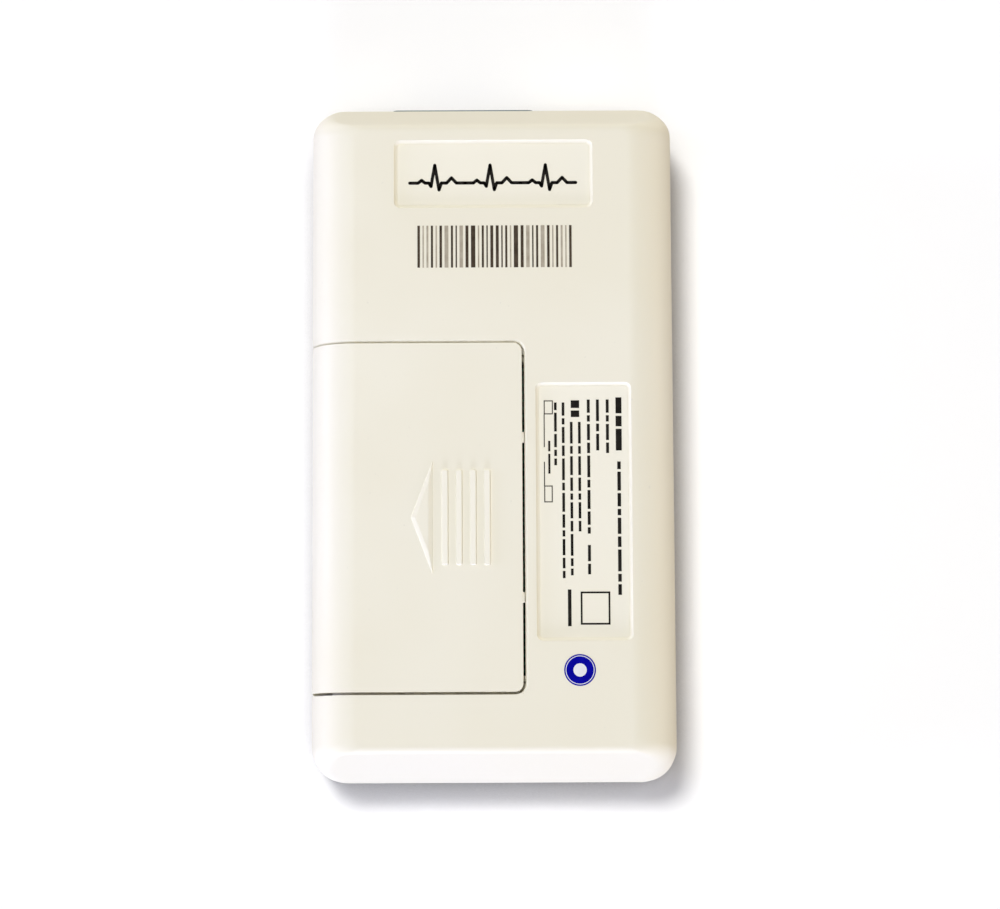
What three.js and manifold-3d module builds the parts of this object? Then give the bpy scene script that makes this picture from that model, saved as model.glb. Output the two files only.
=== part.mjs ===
// Pocket heart monitor recorder, in millimetres, lying on its front face with its back up.
// X runs across the case, Y along it towards the lead connector, Z up out of the back.
// The origin is the centre of the front face's outline.
import * as THREE from "three";
import { mergeVertices } from "three/addons/utils/BufferGeometryUtils.js";
import Module from "manifold-3d";

const wasm = await Module();
wasm.setup();

// Case
const bodyWidth = 52;
const partingHeight = 9;
const wall = 1.6;
const sideRound = 6.5;
const cornerRadius = 4.5;
const backCornerRadius = 1.4;
const endSlopeInset = 4.1;
const endSlopeDepth = 8.6;
const frontRound = 2.2;

// Clearances
const clearance = 0.3;
const seam = 0.15;

// How far a cutting solid runs past what it cuts, the short flat kept between two round ends,
// and how deep a joined form is sunk into its base
const overrun = 1;
const roundEndMargin = 0.01;
const weldDepth = 0.4;

// Sides of round posts, holes and wires
const postSides = 20;
const headSides = 18;
const shankSides = 12;
const holeSides = 14;
const cellSides = 24;
const springSides = 5;

// Lip of the front shell inside the rear shell
const lipGap = 0.2;
const lipThickness = 0.8;
const lipHeight = 1.2;
const lipRoot = 1.4;

// Battery door
const doorPastBay = 3.62;
const doorCornerRadius = 1.5;
const railHeight = 2.3;
const markHeight = 0.35;
const arrowWidth = 3.1;
const arrowHalfLength = 8.1;
const arrowToRib = 1.74;
const ribCount = 4;
const ribPitch = 2;
const ribWidth = 0.9;
const ribLength = 13.6;
const ribInset = 5.33;

// Lengths along the back: below the door, between the door and the name label, and above the label
const belowDoor = 12.1;
const aboveDoor = 19.75;
const aboveNameLabel = 6.25;

// Cells and battery bay
const cellRadius = 5.25;
const cellLength = 44.5;
const cellNubRadius = 2.75;
const cellNubLength = 0.8;
const cellChamfer = 0.5;
const cellGap = 0.7;
const cellCrownGap = 0.35;
const bayFloorThickness = 1.1;
const bayWallThickness = 1.2;
const bayEndInset = 0.7;
const bayEndThickness = 2;
const bayOuterWallThickness = 0.9;
const bayFlankGap = 1.45;
const bayBoardGap = 0.75;
const bayLedgeThickness = 0.8;
const bayEndBeyondRunner = 1.3;
const ridgeWidth = 1;
const ridgeHeight = 2.2;
const ridgeHalfLength = 18;
const runnerLip = 0.9;
const runnerThickness = 0.8;
const runnerHook = 1;
const runnerTongue = 1;
const shelfThickness = 0.9;
const runnerStartX = -18;
const contactThickness = 0.4;
const contactHalfWidth = 3.6;
const contactHeight = 7.2;
const contactFoot = 0.8;
const contactTailWidth = 1.6;
const bumpHeight = 0.8;
const bumpTipRadius = 1.2;
const bumpRootRadius = 1.8;
const springLength = 2.1;
const springWire = 0.5;
const springTurns = 2;
const springStepsPerTurn = 12;
const springTipRadius = 1.9;
const springRootRadius = 2.7;

// Labels on the back
const labelPocketDepth = 0.5;
const labelThickness = 0.2;
const pocketCornerRadius = 1;
const nameLabelX = 0.2;
const nameLabelWidth = 28.4;
const nameLabelLength = 9.7;
const ratingLabelLength = 36.7;
const ratingLabelRise = 0.85;
const ratingLabelGap = 1.53;

// Case screws, hidden under the labels
const caseScrewHeadRadius = 1.5;
const caseScrewHeadHeight = 1.4;
const caseScrewShankRadius = 1;
const caseScrewEndRoom = 1.8;
const counterboreDepth = 3;
const postWall = 0.6;
const bossRadius = 2.4;
const bossShoulderRadius = 3.2;
const nameScrewSpread = 10.5;
const nameScrewDrop = 2.6;
const ratingScrewDrop = 14.5;

// Cross recess of a screw head
const recessShare = 0.6;
const recessWidth = 0.44;

// Main board
const boardThickness = 1.2;
const boardSideGap = 1.6;
const boardEndGap = 1.8;
const boardCornerRadius = 3;
const boardScrewInsetX = 3.3;
const boardScrewInsetY = 3.6;
const boardScrewHeadRadius = 1.7;
const boardScrewHeadHeight = 1;
const boardScrewShankRadius = 0.9;
const boardScrewLength = 4.2;
const boardBossRadius = 2.2;

// Chips, crystal and coil on the board
const chipLift = 0.15;
const legReach = 0.7;
const legWidth = 0.4;
const legHeight = 0.4;
const processorChip = { width: 8, length: 8, height: 1.4, legs: 7 };
const memoryChip = { width: 10, length: 6, height: 1.2, legs: 5 };
const amplifierChip = { width: 7, length: 7, height: 1.4, legs: 6 };
const crystal = { width: 3.6, length: 8, height: 2.4 };
const coil = { size: 7, cornerRadius: 1.2, plate: 0.8, neckRadius: 2.9, height: 3.4 };
const memoryRise = 7.8;
const coilDrop = 2.2;
const amplifierInset = 7.2;
const crystalX = 4.5;

// Lead connector in the upper end
const connectorX = -4.2;
const connectorLift = 1.4;
const flangeWidth = 20.6;
const flangeTall = 8.4;
const flangeThickness = 1.15;
const flangeProud = 0.15;
const flangeCornerRadius = 0.8;
const socketCornerRadius = 0.8;
const housingMargin = 0.9;
const socketWidth = 17.2;
const socketTall = 5.4;
const socketDepth = 8.8;
const socketBack = 1.2;
const pinColumns = 8;
const pinPitch = 2;
const pinRowOffset = 1.1;
const pinRowLift = 0.3;
const pinSize = 0.6;
const pinReach = 3.4;
const waferThickness = 1;

// Display in the front
const lensWidth = 35;
const lensLength = 26;
const lensThickness = 1;
const lensRecess = 0.25;
const lensLedge = 2;
const lensCornerRadius = 2;
const moduleMargin = 0.9;
const moduleThickness = 2.2;
const carrierBorder = 2;
const carrierThickness = 1.1;
const ribbonWidth = 12;
const ribbonThickness = 0.3;
const ribbonFlat = 1.2;
const ribbonBend = 0.9;
const ribbonBendOffset = 0.2;
const ribbonPad = 2.9;

// Buttons and their switches
const clusterRise = 12.25;
const buttonRecess = 0.2;
const eventRadius = 6.5;
const keyLength = 10;
const keyWidth = 4.4;
const keyOffset = 10.8;
const flangeReach = 0.8;
const buttonFlangeThickness = 0.5;
const switchSize = 4.5;
const pressGap = 0.5;
const plungerRadius = 1.1;
const plungerHeight = 0.3;

// Heights that follow from the sizes above, stacked from the front face to the back face
const moduleFront = wall + clearance;
const moduleBack = moduleFront + moduleThickness;
const boardBottom = moduleBack + carrierThickness;
const boardTop = boardBottom + boardThickness;
const bayFloorBottom = boardTop + bayBoardGap;
const bayFloorTop = bayFloorBottom + bayFloorThickness;
const cellAxisZ = bayFloorTop + clearance + cellRadius;
const skinUnderside = cellAxisZ + cellRadius + cellCrownGap;
const bodyThickness = skinUnderside + wall;
const railTop = partingHeight + railHeight;
const shelfTop = skinUnderside - clearance;
const hookTop = shelfTop - shelfThickness - clearance;
const pocketFloor = bodyThickness - labelPocketDepth;
const screwSeat = pocketFloor - counterboreDepth;
const caseScrewLength = screwSeat - 2 * wall - caseScrewEndRoom;
const connectorHeight = boardTop + connectorLift;
const flangeFront = wall + clearance;
const switchFace = flangeFront + buttonFlangeThickness + pressGap + plungerHeight;

// Places along the case, with the door and the bay sized round the cells
const bayHalfLength = cellLength / 2 + contactThickness + clearance + (bumpHeight + springLength) / 2;
const doorLength = 2 * (bayHalfLength + bayEndInset);
const halfLength = (belowDoor + doorLength + aboveDoor + nameLabelLength + aboveNameLabel) / 2;
const doorCentreY = -halfLength + belowDoor + doorLength / 2;
const nubTip = bayHalfLength - contactThickness - bumpHeight - clearance;
const flatEnd = cellLength - nubTip;
const runnerInner = bayHalfLength - runnerLip - runnerThickness - clearance;
const housingBack = halfLength + flangeProud - socketDepth - socketBack;
const housingFront = halfLength + flangeProud - flangeThickness;
const boardUpperEdge = housingBack - clearance;
const boardLowerEdge = -halfLength + wall + boardEndGap;

// Places across the case
const halfWidth = bodyWidth / 2;
const bayLeft = -halfWidth + wall + bayFlankGap + bayOuterWallThickness;
const outerCellX = bayLeft + 2 * clearance + cellRadius;
const cellPitch = 2 * cellRadius + cellGap;
const innerCellX = outerCellX + cellPitch;
const bayRight = innerCellX + cellRadius + 2 * clearance;
const doorEdgeX = bayRight + doorPastBay;
const runnerEndX = doorEdgeX + runnerTongue;
const lastRibX = doorEdgeX - ribInset;
const arrowBaseX = lastRibX - (ribCount - 1) * ribPitch - arrowToRib;
const arrowTipX = arrowBaseX - arrowWidth;
const boardHalfWidth = halfWidth - wall - boardSideGap;

// Labels, with the rating label between the door and the rounded flank
const nameLabel = {
  x: nameLabelX,
  y: halfLength - aboveNameLabel - nameLabelLength / 2,
  width: nameLabelWidth,
  length: nameLabelLength,
};
const ratingLabelLeft = doorEdgeX + ratingLabelGap;
const ratingLabelRight = halfWidth - sideRound;
const ratingLabel = {
  x: (ratingLabelLeft + ratingLabelRight) / 2,
  y: doorCentreY + ratingLabelRise,
  width: ratingLabelRight - ratingLabelLeft,
  length: ratingLabelLength,
};

// Screws
const counterboreRadius = caseScrewHeadRadius + clearance;
const postRadius = counterboreRadius + postWall;
const caseHoleRadius = caseScrewShankRadius + clearance;
const boardHoleRadius = boardScrewShankRadius + clearance;
const nameScrewY = nameLabel.y - nameScrewDrop;
const ratingScrewY = ratingLabel.y - ratingScrewDrop;
const caseScrewPlaces = [
  [nameLabel.x - nameScrewSpread, nameScrewY],
  [nameLabel.x + nameScrewSpread, nameScrewY],
  [ratingLabel.x, ratingScrewY],
];
const boardScrewX = boardHalfWidth - boardScrewInsetX;
const boardScrewY = boardLowerEdge + boardScrewInsetY;
const boardScrewPlaces = [
  [-boardScrewX, boardScrewY],
  [boardScrewX, boardScrewY],
];

// Board parts, with the upper ones halfway between the bay and the screws
const upperPartsY = (doorCentreY + bayHalfLength + bayEndThickness + nameScrewY - bossRadius) / 2;
const processorPlace = [ratingLabel.x, upperPartsY];
const memoryPlace = [ratingLabel.x, doorCentreY + memoryRise];
const coilPlace = [ratingLabel.x, doorCentreY - coilDrop];
const amplifierPlace = [outerCellX + amplifierInset, upperPartsY];
const crystalPlace = [crystalX, upperPartsY];

// Lead connector, display and buttons
const housingHalfX = socketWidth / 2 + socketBack;
const housingHalfZ = socketTall / 2 + housingMargin;
const windowHalfX = lensWidth / 2 - lensLedge;
const windowHalfY = lensLength / 2 - lensLedge;
const moduleHalfY = windowHalfY + moduleMargin;
const lensY = nameScrewY - bossShoulderRadius - clearance - moduleHalfY;
const clusterY = ratingScrewY + clusterRise;

// Finishes
const finish = (color, roughness, metalness = 0) =>
  new THREE.MeshStandardMaterial({ color, roughness, metalness });
const finishes = {
  shell: finish(0xf0ede0, 0.42),
  button: finish(0x8fa3ad, 0.45),
  eventButton: finish(0x2f6fb0, 0.4),
  label: finish(0xf4f2e8, 0.5),
  cell: finish(0x3a4a58, 0.35, 0.4),
  contact: finish(0xc9c6bd, 0.3, 1),
  board: finish(0x1f5b3c, 0.5),
  chip: finish(0x1c1c1e, 0.6),
  connector: finish(0x2a3036, 0.5),
  pin: finish(0xd8b25a, 0.3, 1),
  lens: finish(0x0c0f12, 0.08),
  display: finish(0x9aa59a, 0.25),
  foam: finish(0x2c2c2c, 0.9),
  ribbon: finish(0xb8792a, 0.45),
  screw: finish(0xb4b7ba, 0.35, 1),
};

// A closed geometry as a solid that can be joined and cut.
function solidFrom(geometry) {
  const bare = geometry.clone();
  bare.deleteAttribute("normal");
  bare.deleteAttribute("uv");
  const merged = mergeVertices(bare);
  const vertProperties = new Float32Array(merged.attributes.position.array);
  const triVerts = new Uint32Array(merged.index.array);
  return new wasm.Manifold(new wasm.Mesh({ numProp: 3, vertProperties, triVerts }));
}

// A solid back as a drawable geometry.
function geometryFrom(solid) {
  const mesh = solid.getMesh();
  const geometry = new THREE.BufferGeometry();
  geometry.setAttribute("position", new THREE.BufferAttribute(mesh.vertProperties, 3));
  geometry.setIndex(new THREE.BufferAttribute(mesh.triVerts, 1));
  geometry.computeVertexNormals();
  return geometry;
}

// The range about a centre, and a range stretched past both ends for a cut.
const around = (centre, half) => [centre - half, centre + half];
const through = (low, high) => [low - overrun, high + overrun];

// A box between two values on each axis.
function block([x0, x1], [y0, y1], [z0, z1]) {
  const geometry = new THREE.BoxGeometry(x1 - x0, y1 - y0, z1 - z0);
  geometry.translate((x0 + x1) / 2, (y0 + y1) / 2, (z0 + z1) / 2);
  return solidFrom(geometry);
}

// A round post along Z.
function post([x, y], radius, [z0, z1], sides = postSides) {
  const geometry = new THREE.CylinderGeometry(radius, radius, z1 - z0, sides);
  geometry.rotateX(Math.PI / 2);
  geometry.translate(x, y, (z0 + z1) / 2);
  return solidFrom(geometry);
}

// A rounded rectangle as a shape about its own centre.
function roundedRectangle(width, length, radius) {
  const x = width / 2;
  const y = length / 2;
  const shape = new THREE.Shape();
  shape.moveTo(-x + radius, -y);
  shape.lineTo(x - radius, -y);
  shape.absarc(x - radius, -y + radius, radius, -Math.PI / 2, 0);
  shape.lineTo(x, y - radius);
  shape.absarc(x - radius, y - radius, radius, 0, Math.PI / 2);
  shape.lineTo(-x + radius, y);
  shape.absarc(-x + radius, y - radius, radius, Math.PI / 2, Math.PI);
  shape.lineTo(-x, -y + radius);
  shape.absarc(-x + radius, -y + radius, radius, Math.PI, Math.PI * 1.5);
  return shape;
}

// A shape extruded from one height to another at a place.
function slab(shape, [x, y], [z0, z1], curveSegments = 5) {
  const geometry = new THREE.ExtrudeGeometry(shape, { depth: z1 - z0, bevelEnabled: false, curveSegments });
  geometry.translate(x, y, z0);
  return solidFrom(geometry);
}

// A profile in Y and Z extruded across X about a centre.
function crossways(points, centreX, width) {
  const shape = new THREE.Shape(points.map(([y, z]) => new THREE.Vector2(y, z)));
  const geometry = new THREE.ExtrudeGeometry(shape, { depth: width, bevelEnabled: false });
  geometry.rotateY(Math.PI / 2);
  geometry.rotateX(Math.PI / 2);
  geometry.translate(centreX - width / 2, 0, 0);
  return solidFrom(geometry);
}

function union(solids) {
  return solids.reduce((sum, solid) => sum.add(solid));
}

// Outline of the case's back or front half at a height, drawn in by an inset.
function caseSection(z, inset, back) {
  const depth = bodyThickness - z;
  const round = back ? sideRound : frontRound;
  const fromFace = back ? depth : z;
  const inner = round - inset;
  const rise = Math.max(round - fromFace, 0);
  const drawnIn = round - Math.sqrt(Math.max(inner * inner - rise * rise, 0));
  let halfX = halfWidth - inset;
  let halfY = halfLength - inset;
  let radius = cornerRadius;
  if (inner > 0 && fromFace < round) halfX = halfWidth - drawnIn;
  if (back) {
    const slope = endSlopeInset / endSlopeDepth;
    const slopeY = halfLength - endSlopeInset + slope * depth - inset * Math.hypot(1, slope);
    halfY = Math.min(halfY, slopeY);
    const share = Math.min(depth / endSlopeDepth, 1);
    radius = backCornerRadius + (cornerRadius - backCornerRadius) * share;
  } else if (inner > 0 && fromFace < round) {
    halfY = halfLength - drawnIn;
  }
  const least = 0.4;
  return { z, halfX, halfY, radius: Math.max(radius - inset, least) };
}

// The points of a rounded rectangle, with the same count whatever its size.
function sectionRing({ z, halfX, halfY, radius }) {
  const steps = 6;
  const ring = [];
  for (let corner = 0; corner < 4; corner += 1) {
    const signX = corner === 0 || corner === 3 ? 1 : -1;
    const signY = corner < 2 ? 1 : -1;
    for (let step = 0; step <= steps; step += 1) {
      const angle = ((corner + step / steps) * Math.PI) / 2;
      const x = signX * (halfX - radius) + radius * Math.cos(angle);
      const y = signY * (halfY - radius) + radius * Math.sin(angle);
      ring.push(new THREE.Vector3(x, y, z));
    }
  }
  return ring;
}

// A closed solid through a stack of sections, lowest first.
function loft(sections) {
  const rings = sections.map(sectionRing);
  const count = rings[0].length;
  const positions = rings.flat().flatMap((point) => [point.x, point.y, point.z]);
  const index = [];
  for (let level = 0; level + 1 < rings.length; level += 1) {
    for (let side = 0; side < count; side += 1) {
      const a = level * count + side;
      const b = level * count + ((side + 1) % count);
      index.push(a, b, b + count, a, b + count, a + count);
    }
  }
  const top = (rings.length - 1) * count;
  for (let side = 1; side + 1 < count; side += 1) {
    index.push(0, side + 1, side);
    index.push(top, top + side, top + side + 1);
  }
  const geometry = new THREE.BufferGeometry();
  geometry.setAttribute("position", new THREE.Float32BufferAttribute(positions, 3));
  geometry.setIndex(index);
  return solidFrom(geometry);
}

// The back half's form, from a lower height up to its back face, drawn in by an inset.
function backForm(inset, lowest) {
  const steps = 8;
  const inner = sideRound - inset;
  const heights = [lowest, bodyThickness - endSlopeDepth];
  for (let step = steps; step >= 0; step -= 1) {
    const angle = (step / steps) * (Math.PI / 2);
    heights.push(bodyThickness - sideRound + inner * Math.cos(angle));
  }
  return loft(heights.map((z) => caseSection(z, inset, true)));
}

// The front half's form, from its front face up to a height, drawn in by an inset.
function frontForm(inset, highest) {
  const steps = 4;
  const inner = frontRound - inset;
  const heights = [];
  for (let step = 0; step <= steps; step += 1) {
    const angle = (step / steps) * (Math.PI / 2);
    heights.push(frontRound - inner * Math.cos(angle));
  }
  heights.push(highest);
  return loft(heights.map((z) => caseSection(z, inset, false)));
}

// The plan outline of the battery door or of its opening, drawn in by a gap.
function doorOutline(gap) {
  const left = -halfWidth - 2 * overrun;
  const right = doorEdgeX - gap;
  const lower = doorCentreY - doorLength / 2 + gap;
  const upper = doorCentreY + doorLength / 2 - gap;
  const radius = doorCornerRadius - gap;
  const shape = new THREE.Shape();
  shape.moveTo(left, lower);
  shape.lineTo(right - radius, lower);
  shape.absarc(right - radius, lower + radius, radius, -Math.PI / 2, 0);
  shape.lineTo(right, upper - radius);
  shape.absarc(right - radius, upper - radius, radius, 0, Math.PI / 2);
  shape.lineTo(left, upper);
  return shape;
}

// A range on Y measured outwards from the door's middle, at its upper (1) or lower (-1) end.
function doorSpan(end, near, far) {
  const a = doorCentreY + end * near;
  const b = doorCentreY + end * far;
  return [Math.min(a, b), Math.max(a, b)];
}

// The space in both shells that the lead connector passes through.
function connectorOpening() {
  const hole = block(
    [connectorX - housingHalfX - clearance, connectorX + housingHalfX + clearance],
    [housingBack - clearance, halfLength + overrun],
    [connectorHeight - housingHalfZ - clearance, connectorHeight + housingHalfZ + clearance],
  );
  const halfFlange = flangeWidth / 2 + clearance;
  const recess = block(
    [connectorX - halfFlange, connectorX + halfFlange],
    [housingFront, halfLength + overrun],
    [connectorHeight - flangeTall / 2 - clearance, connectorHeight + flangeTall / 2 + clearance],
  );
  return hole.add(recess);
}

// Walls, floor and runner shelves of the battery bay.
function batteryBay() {
  const left = bayLeft - bayOuterWallThickness;
  const right = bayRight + bayWallThickness;
  const endRight = runnerEndX + bayEndBeyondRunner;
  const farEnd = bayHalfLength + bayEndThickness;
  const length = [doorCentreY - farEnd, doorCentreY + farEnd];
  const ridgeX = (outerCellX + innerCellX) / 2;
  const cellSpan = runnerInner - clearance;
  const ledge = block([-halfWidth + wall / 2, bayLeft], length, [railTop - bayLedgeThickness, railTop]);
  const tub = [
    block([left, right], length, [bayFloorBottom, bayFloorTop]),
    block([left, bayLeft], length, [bayFloorBottom, railTop]),
    block([bayRight, right], doorSpan(1, -cellSpan, cellSpan), [bayFloorBottom, shelfTop - clearance]),
    block(
      [ridgeX - ridgeWidth / 2, ridgeX + ridgeWidth / 2],
      doorSpan(1, -ridgeHalfLength, ridgeHalfLength),
      [bayFloorBottom, bayFloorTop + ridgeHeight],
    ),
  ];
  const joins = [];
  for (const end of [-1, 1]) {
    const shelfSpan = doorSpan(end, bayHalfLength - runnerLip, farEnd);
    tub.push(
      block([left, endRight], doorSpan(end, bayHalfLength, farEnd), [bayFloorBottom, shelfTop]),
      block([-halfWidth + sideRound, endRight], shelfSpan, [shelfTop - shelfThickness, shelfTop]),
    );
    const joinSpan = doorSpan(end, doorLength / 2, farEnd);
    joins.push(block([left, endRight], joinSpan, [bayFloorBottom, bodyThickness]));
  }
  const underDoor = union(tub).intersect(backForm(wall + clearance, bayFloorBottom - overrun));
  const underSkin = union(joins).intersect(backForm(wall / 2, bayFloorBottom - overrun));
  return union([underDoor, underSkin, ledge]);
}

// Slots in the bay floor for the contacts' tails.
function tailSlots() {
  const half = contactTailWidth / 2 + clearance;
  return union(
    [outerCellX, innerCellX].map((x) =>
      block(
        [x - half, x + half],
        doorSpan(1, bayHalfLength - contactThickness - clearance, bayHalfLength),
        [bayFloorBottom - overrun, bayFloorTop + overrun],
      ),
    ),
  );
}

function pocket({ x, y, width, length }, radius, gap, range) {
  return slab(roundedRectangle(width - 2 * gap, length - 2 * gap, radius), [x, y], range);
}

function rearShell() {
  const outer = backForm(0, partingHeight);
  const hollow = backForm(wall, partingHeight - overrun);
  const opening = slab(doorOutline(0), [0, 0], [railTop, bodyThickness + overrun]);
  let shell = outer.subtract(hollow).subtract(opening);
  shell = shell.add(batteryBay());
  for (const place of caseScrewPlaces) {
    shell = shell.add(post(place, postRadius, [partingHeight, skinUnderside + weldDepth]));
  }
  for (const label of [nameLabel, ratingLabel]) {
    shell = shell.subtract(pocket(label, pocketCornerRadius, 0, [pocketFloor, bodyThickness + overrun]));
  }
  for (const place of caseScrewPlaces) {
    shell = shell.subtract(post(place, counterboreRadius, [screwSeat, bodyThickness]));
    shell = shell.subtract(post(place, caseHoleRadius, through(partingHeight, screwSeat), holeSides));
  }
  return shell.subtract(tailSlots()).subtract(connectorOpening());
}

function frontShell() {
  const caseWidth = around(0, halfWidth);
  const caseLength = around(0, halfLength);
  const outer = frontForm(0, partingHeight);
  const hollow = frontForm(wall, partingHeight + overrun);
  const lip = frontForm(wall + lipGap, partingHeight + lipHeight)
    .subtract(frontForm(wall + lipGap + lipThickness, partingHeight + lipHeight + overrun))
    .subtract(block(caseWidth, caseLength, [-overrun, partingHeight]));
  const root = frontForm(wall / 2, partingHeight)
    .subtract(frontForm(wall + lipGap + lipThickness, partingHeight + overrun))
    .subtract(block(caseWidth, caseLength, [-overrun, partingHeight - lipRoot]));
  let shell = outer.subtract(hollow).add(root).add(lip);
  for (const place of caseScrewPlaces) {
    shell = shell.add(post(place, bossShoulderRadius, [wall / 2, boardBottom]));
    shell = shell.add(post(place, bossRadius, [wall / 2, partingHeight]));
  }
  for (const place of boardScrewPlaces) {
    shell = shell.add(post(place, boardBossRadius, [wall / 2, boardBottom]));
  }
  for (const place of caseScrewPlaces) {
    shell = shell.subtract(post(place, caseHoleRadius, [2 * wall, partingHeight + overrun], holeSides));
  }
  for (const place of boardScrewPlaces) {
    shell = shell.subtract(post(place, boardHoleRadius, [wall, boardBottom + overrun], holeSides));
  }
  const rebate = roundedRectangle(lensWidth + 2 * seam, lensLength + 2 * seam, lensCornerRadius);
  const window = roundedRectangle(2 * windowHalfX, 2 * windowHalfY, lensCornerRadius / 2);
  shell = shell
    .subtract(slab(rebate, [0, lensY], [-overrun, lensRecess + lensThickness]))
    .subtract(slab(window, [0, lensY], [-overrun, wall + overrun]));
  for (const button of buttons) {
    const hole = button.outline(clearance);
    shell = shell.subtract(slab(hole, button.place, through(0, wall), button.segments));
  }
  return shell.subtract(connectorOpening());
}

function batteryDoor() {
  const skin = backForm(0, partingHeight).subtract(backForm(wall, partingHeight - overrun));
  let door = skin.intersect(slab(doorOutline(seam), [0, 0], [railTop + clearance, bodyThickness + overrun]));
  const hookBottom = hookTop - runnerHook;
  for (const end of [-1, 1]) {
    const webSpan = doorSpan(end, runnerInner, runnerInner + runnerThickness);
    const hookSpan = doorSpan(end, runnerInner, runnerInner + runnerThickness + runnerLip);
    door = union([
      door,
      block([runnerStartX, doorEdgeX - seam], webSpan, [hookBottom, skinUnderside + weldDepth]),
      block([runnerStartX, runnerEndX], hookSpan, [hookBottom, hookTop]),
      block([doorEdgeX - runnerTongue, runnerEndX], webSpan, [hookBottom, shelfTop]),
    ]);
  }
  const marks = [bodyThickness - weldDepth, bodyThickness + markHeight];
  const arrow = new THREE.Shape([
    new THREE.Vector2(arrowTipX, 0),
    new THREE.Vector2(arrowBaseX, -arrowHalfLength),
    new THREE.Vector2(arrowBaseX, arrowHalfLength),
  ]);
  door = door.add(slab(arrow, [0, doorCentreY], marks));
  const ribShape = roundedRectangle(ribWidth, ribLength, ribWidth / 2 - roundEndMargin);
  for (let rib = 0; rib < ribCount; rib += 1) {
    door = door.add(slab(ribShape, [lastRibX - rib * ribPitch, doorCentreY], marks));
  }
  return door;
}

// A cell along Y, with its nub towards the upper (1) or lower (-1) end.
function cell(x, end) {
  const body = cellLength - cellNubLength;
  const chamfer = cellChamfer;
  const profile = [
    [0, 0],
    [cellRadius - chamfer, 0],
    [cellRadius, chamfer],
    [cellRadius, body - chamfer],
    [cellRadius - chamfer, body],
    [cellNubRadius, body],
    [cellNubRadius, cellLength],
    [0, cellLength],
  ].map(([radius, height]) => new THREE.Vector2(radius, height));
  const geometry = new THREE.LatheGeometry(profile, cellSides);
  geometry.translate(0, -flatEnd, 0);
  if (end < 0) geometry.rotateX(Math.PI);
  geometry.translate(x, doorCentreY, cellAxisZ);
  return solidFrom(geometry);
}

class Spiral extends THREE.Curve {
  constructor(end, x) {
    super();
    this.end = end;
    this.x = x;
    this.root = bayHalfLength - contactThickness - springWire / 2;
    this.tip = flatEnd + clearance + springWire / 2;
  }

  getPoint(t, target = new THREE.Vector3()) {
    const angle = t * springTurns * 2 * Math.PI;
    const radius = springRootRadius + (springTipRadius - springRootRadius) * t;
    const along = this.root + (this.tip - this.root) * t;
    return target.set(
      this.x + radius * Math.cos(angle),
      doorCentreY + this.end * along,
      cellAxisZ + radius * Math.sin(angle),
    );
  }
}

// A wire spring at one end of the bay, with its root coil just sunk into its plate.
function spring(x, end) {
  const section = [];
  for (let side = 0; side < springSides; side += 1) {
    const angle = (side / springSides) * 2 * Math.PI;
    section.push(new THREE.Vector2(Math.cos(angle), Math.sin(angle)).multiplyScalar(springWire / 2));
  }
  const geometry = new THREE.ExtrudeGeometry(new THREE.Shape(section), {
    steps: springTurns * springStepsPerTurn,
    extrudePath: new Spiral(end, x),
  });
  const foot = block(
    [x + springRootRadius - springWire, x + springRootRadius + springWire],
    doorSpan(end, bayHalfLength - contactThickness - springWire / 2, bayHalfLength - contactThickness / 2),
    [cellAxisZ - springWire, cellAxisZ + springWire],
  );
  return solidFrom(geometry).add(foot);
}

// A flat contact plate against the bay's end wall, with or without a tail to the board.
function contactPlate(x, halfX, end, tail) {
  const bottom = bayFloorTop + contactFoot;
  const depth = doorSpan(end, bayHalfLength - contactThickness, bayHalfLength);
  const plate = block([x - halfX, x + halfX], depth, [bottom, bottom + contactHeight]);
  if (!tail) return plate;
  return plate.add(block(around(x, contactTailWidth / 2), depth, [boardTop, bottom + contactFoot]));
}

// The bump that meets a cell's nub.
function contactBump(x, end) {
  const height = bumpHeight + contactThickness / 2;
  const geometry = new THREE.CylinderGeometry(bumpTipRadius, bumpRootRadius, height, shankSides);
  const centre = bayHalfLength - contactThickness / 2 - height / 2;
  if (end > 0) geometry.rotateX(Math.PI);
  geometry.translate(x, doorCentreY + end * centre, cellAxisZ);
  return solidFrom(geometry);
}

function positiveContact() {
  return contactPlate(outerCellX, contactHalfWidth, 1, true).add(contactBump(outerCellX, 1));
}

function negativeContact() {
  return contactPlate(innerCellX, contactHalfWidth, 1, true).add(spring(innerCellX, 1));
}

function bridgeContact() {
  const middle = (outerCellX + innerCellX) / 2;
  const plate = contactPlate(middle, cellPitch / 2 + contactHalfWidth, -1, false);
  return union([plate, contactBump(innerCellX, -1), spring(outerCellX, -1)]);
}

// A blank label on a pocket's floor.
function blankLabel(label) {
  const range = [pocketFloor, pocketFloor + labelThickness];
  return pocket(label, pocketCornerRadius - clearance, clearance, range);
}

// A screw with its head on a seat and a cross recess in the head.
function screw(place, seat, { headRadius, headHeight, shankRadius, length }) {
  const [x, y] = place;
  const headTop = seat + headHeight;
  const arm = headRadius * recessShare;
  const recess = [headTop - headHeight / 2, headTop + overrun];
  return post(place, headRadius, [seat, headTop], headSides)
    .add(post(place, shankRadius, [seat - length, seat + headHeight / 4], shankSides))
    .subtract(block(around(x, arm), around(y, recessWidth / 2), recess))
    .subtract(block(around(x, recessWidth / 2), around(y, arm), recess));
}

function caseScrew(place) {
  return screw(place, screwSeat, {
    headRadius: caseScrewHeadRadius,
    headHeight: caseScrewHeadHeight,
    shankRadius: caseScrewShankRadius,
    length: caseScrewLength,
  });
}

function boardScrew(place) {
  return screw(place, boardTop, {
    headRadius: boardScrewHeadRadius,
    headHeight: boardScrewHeadHeight,
    shankRadius: boardScrewShankRadius,
    length: boardScrewLength,
  });
}

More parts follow.
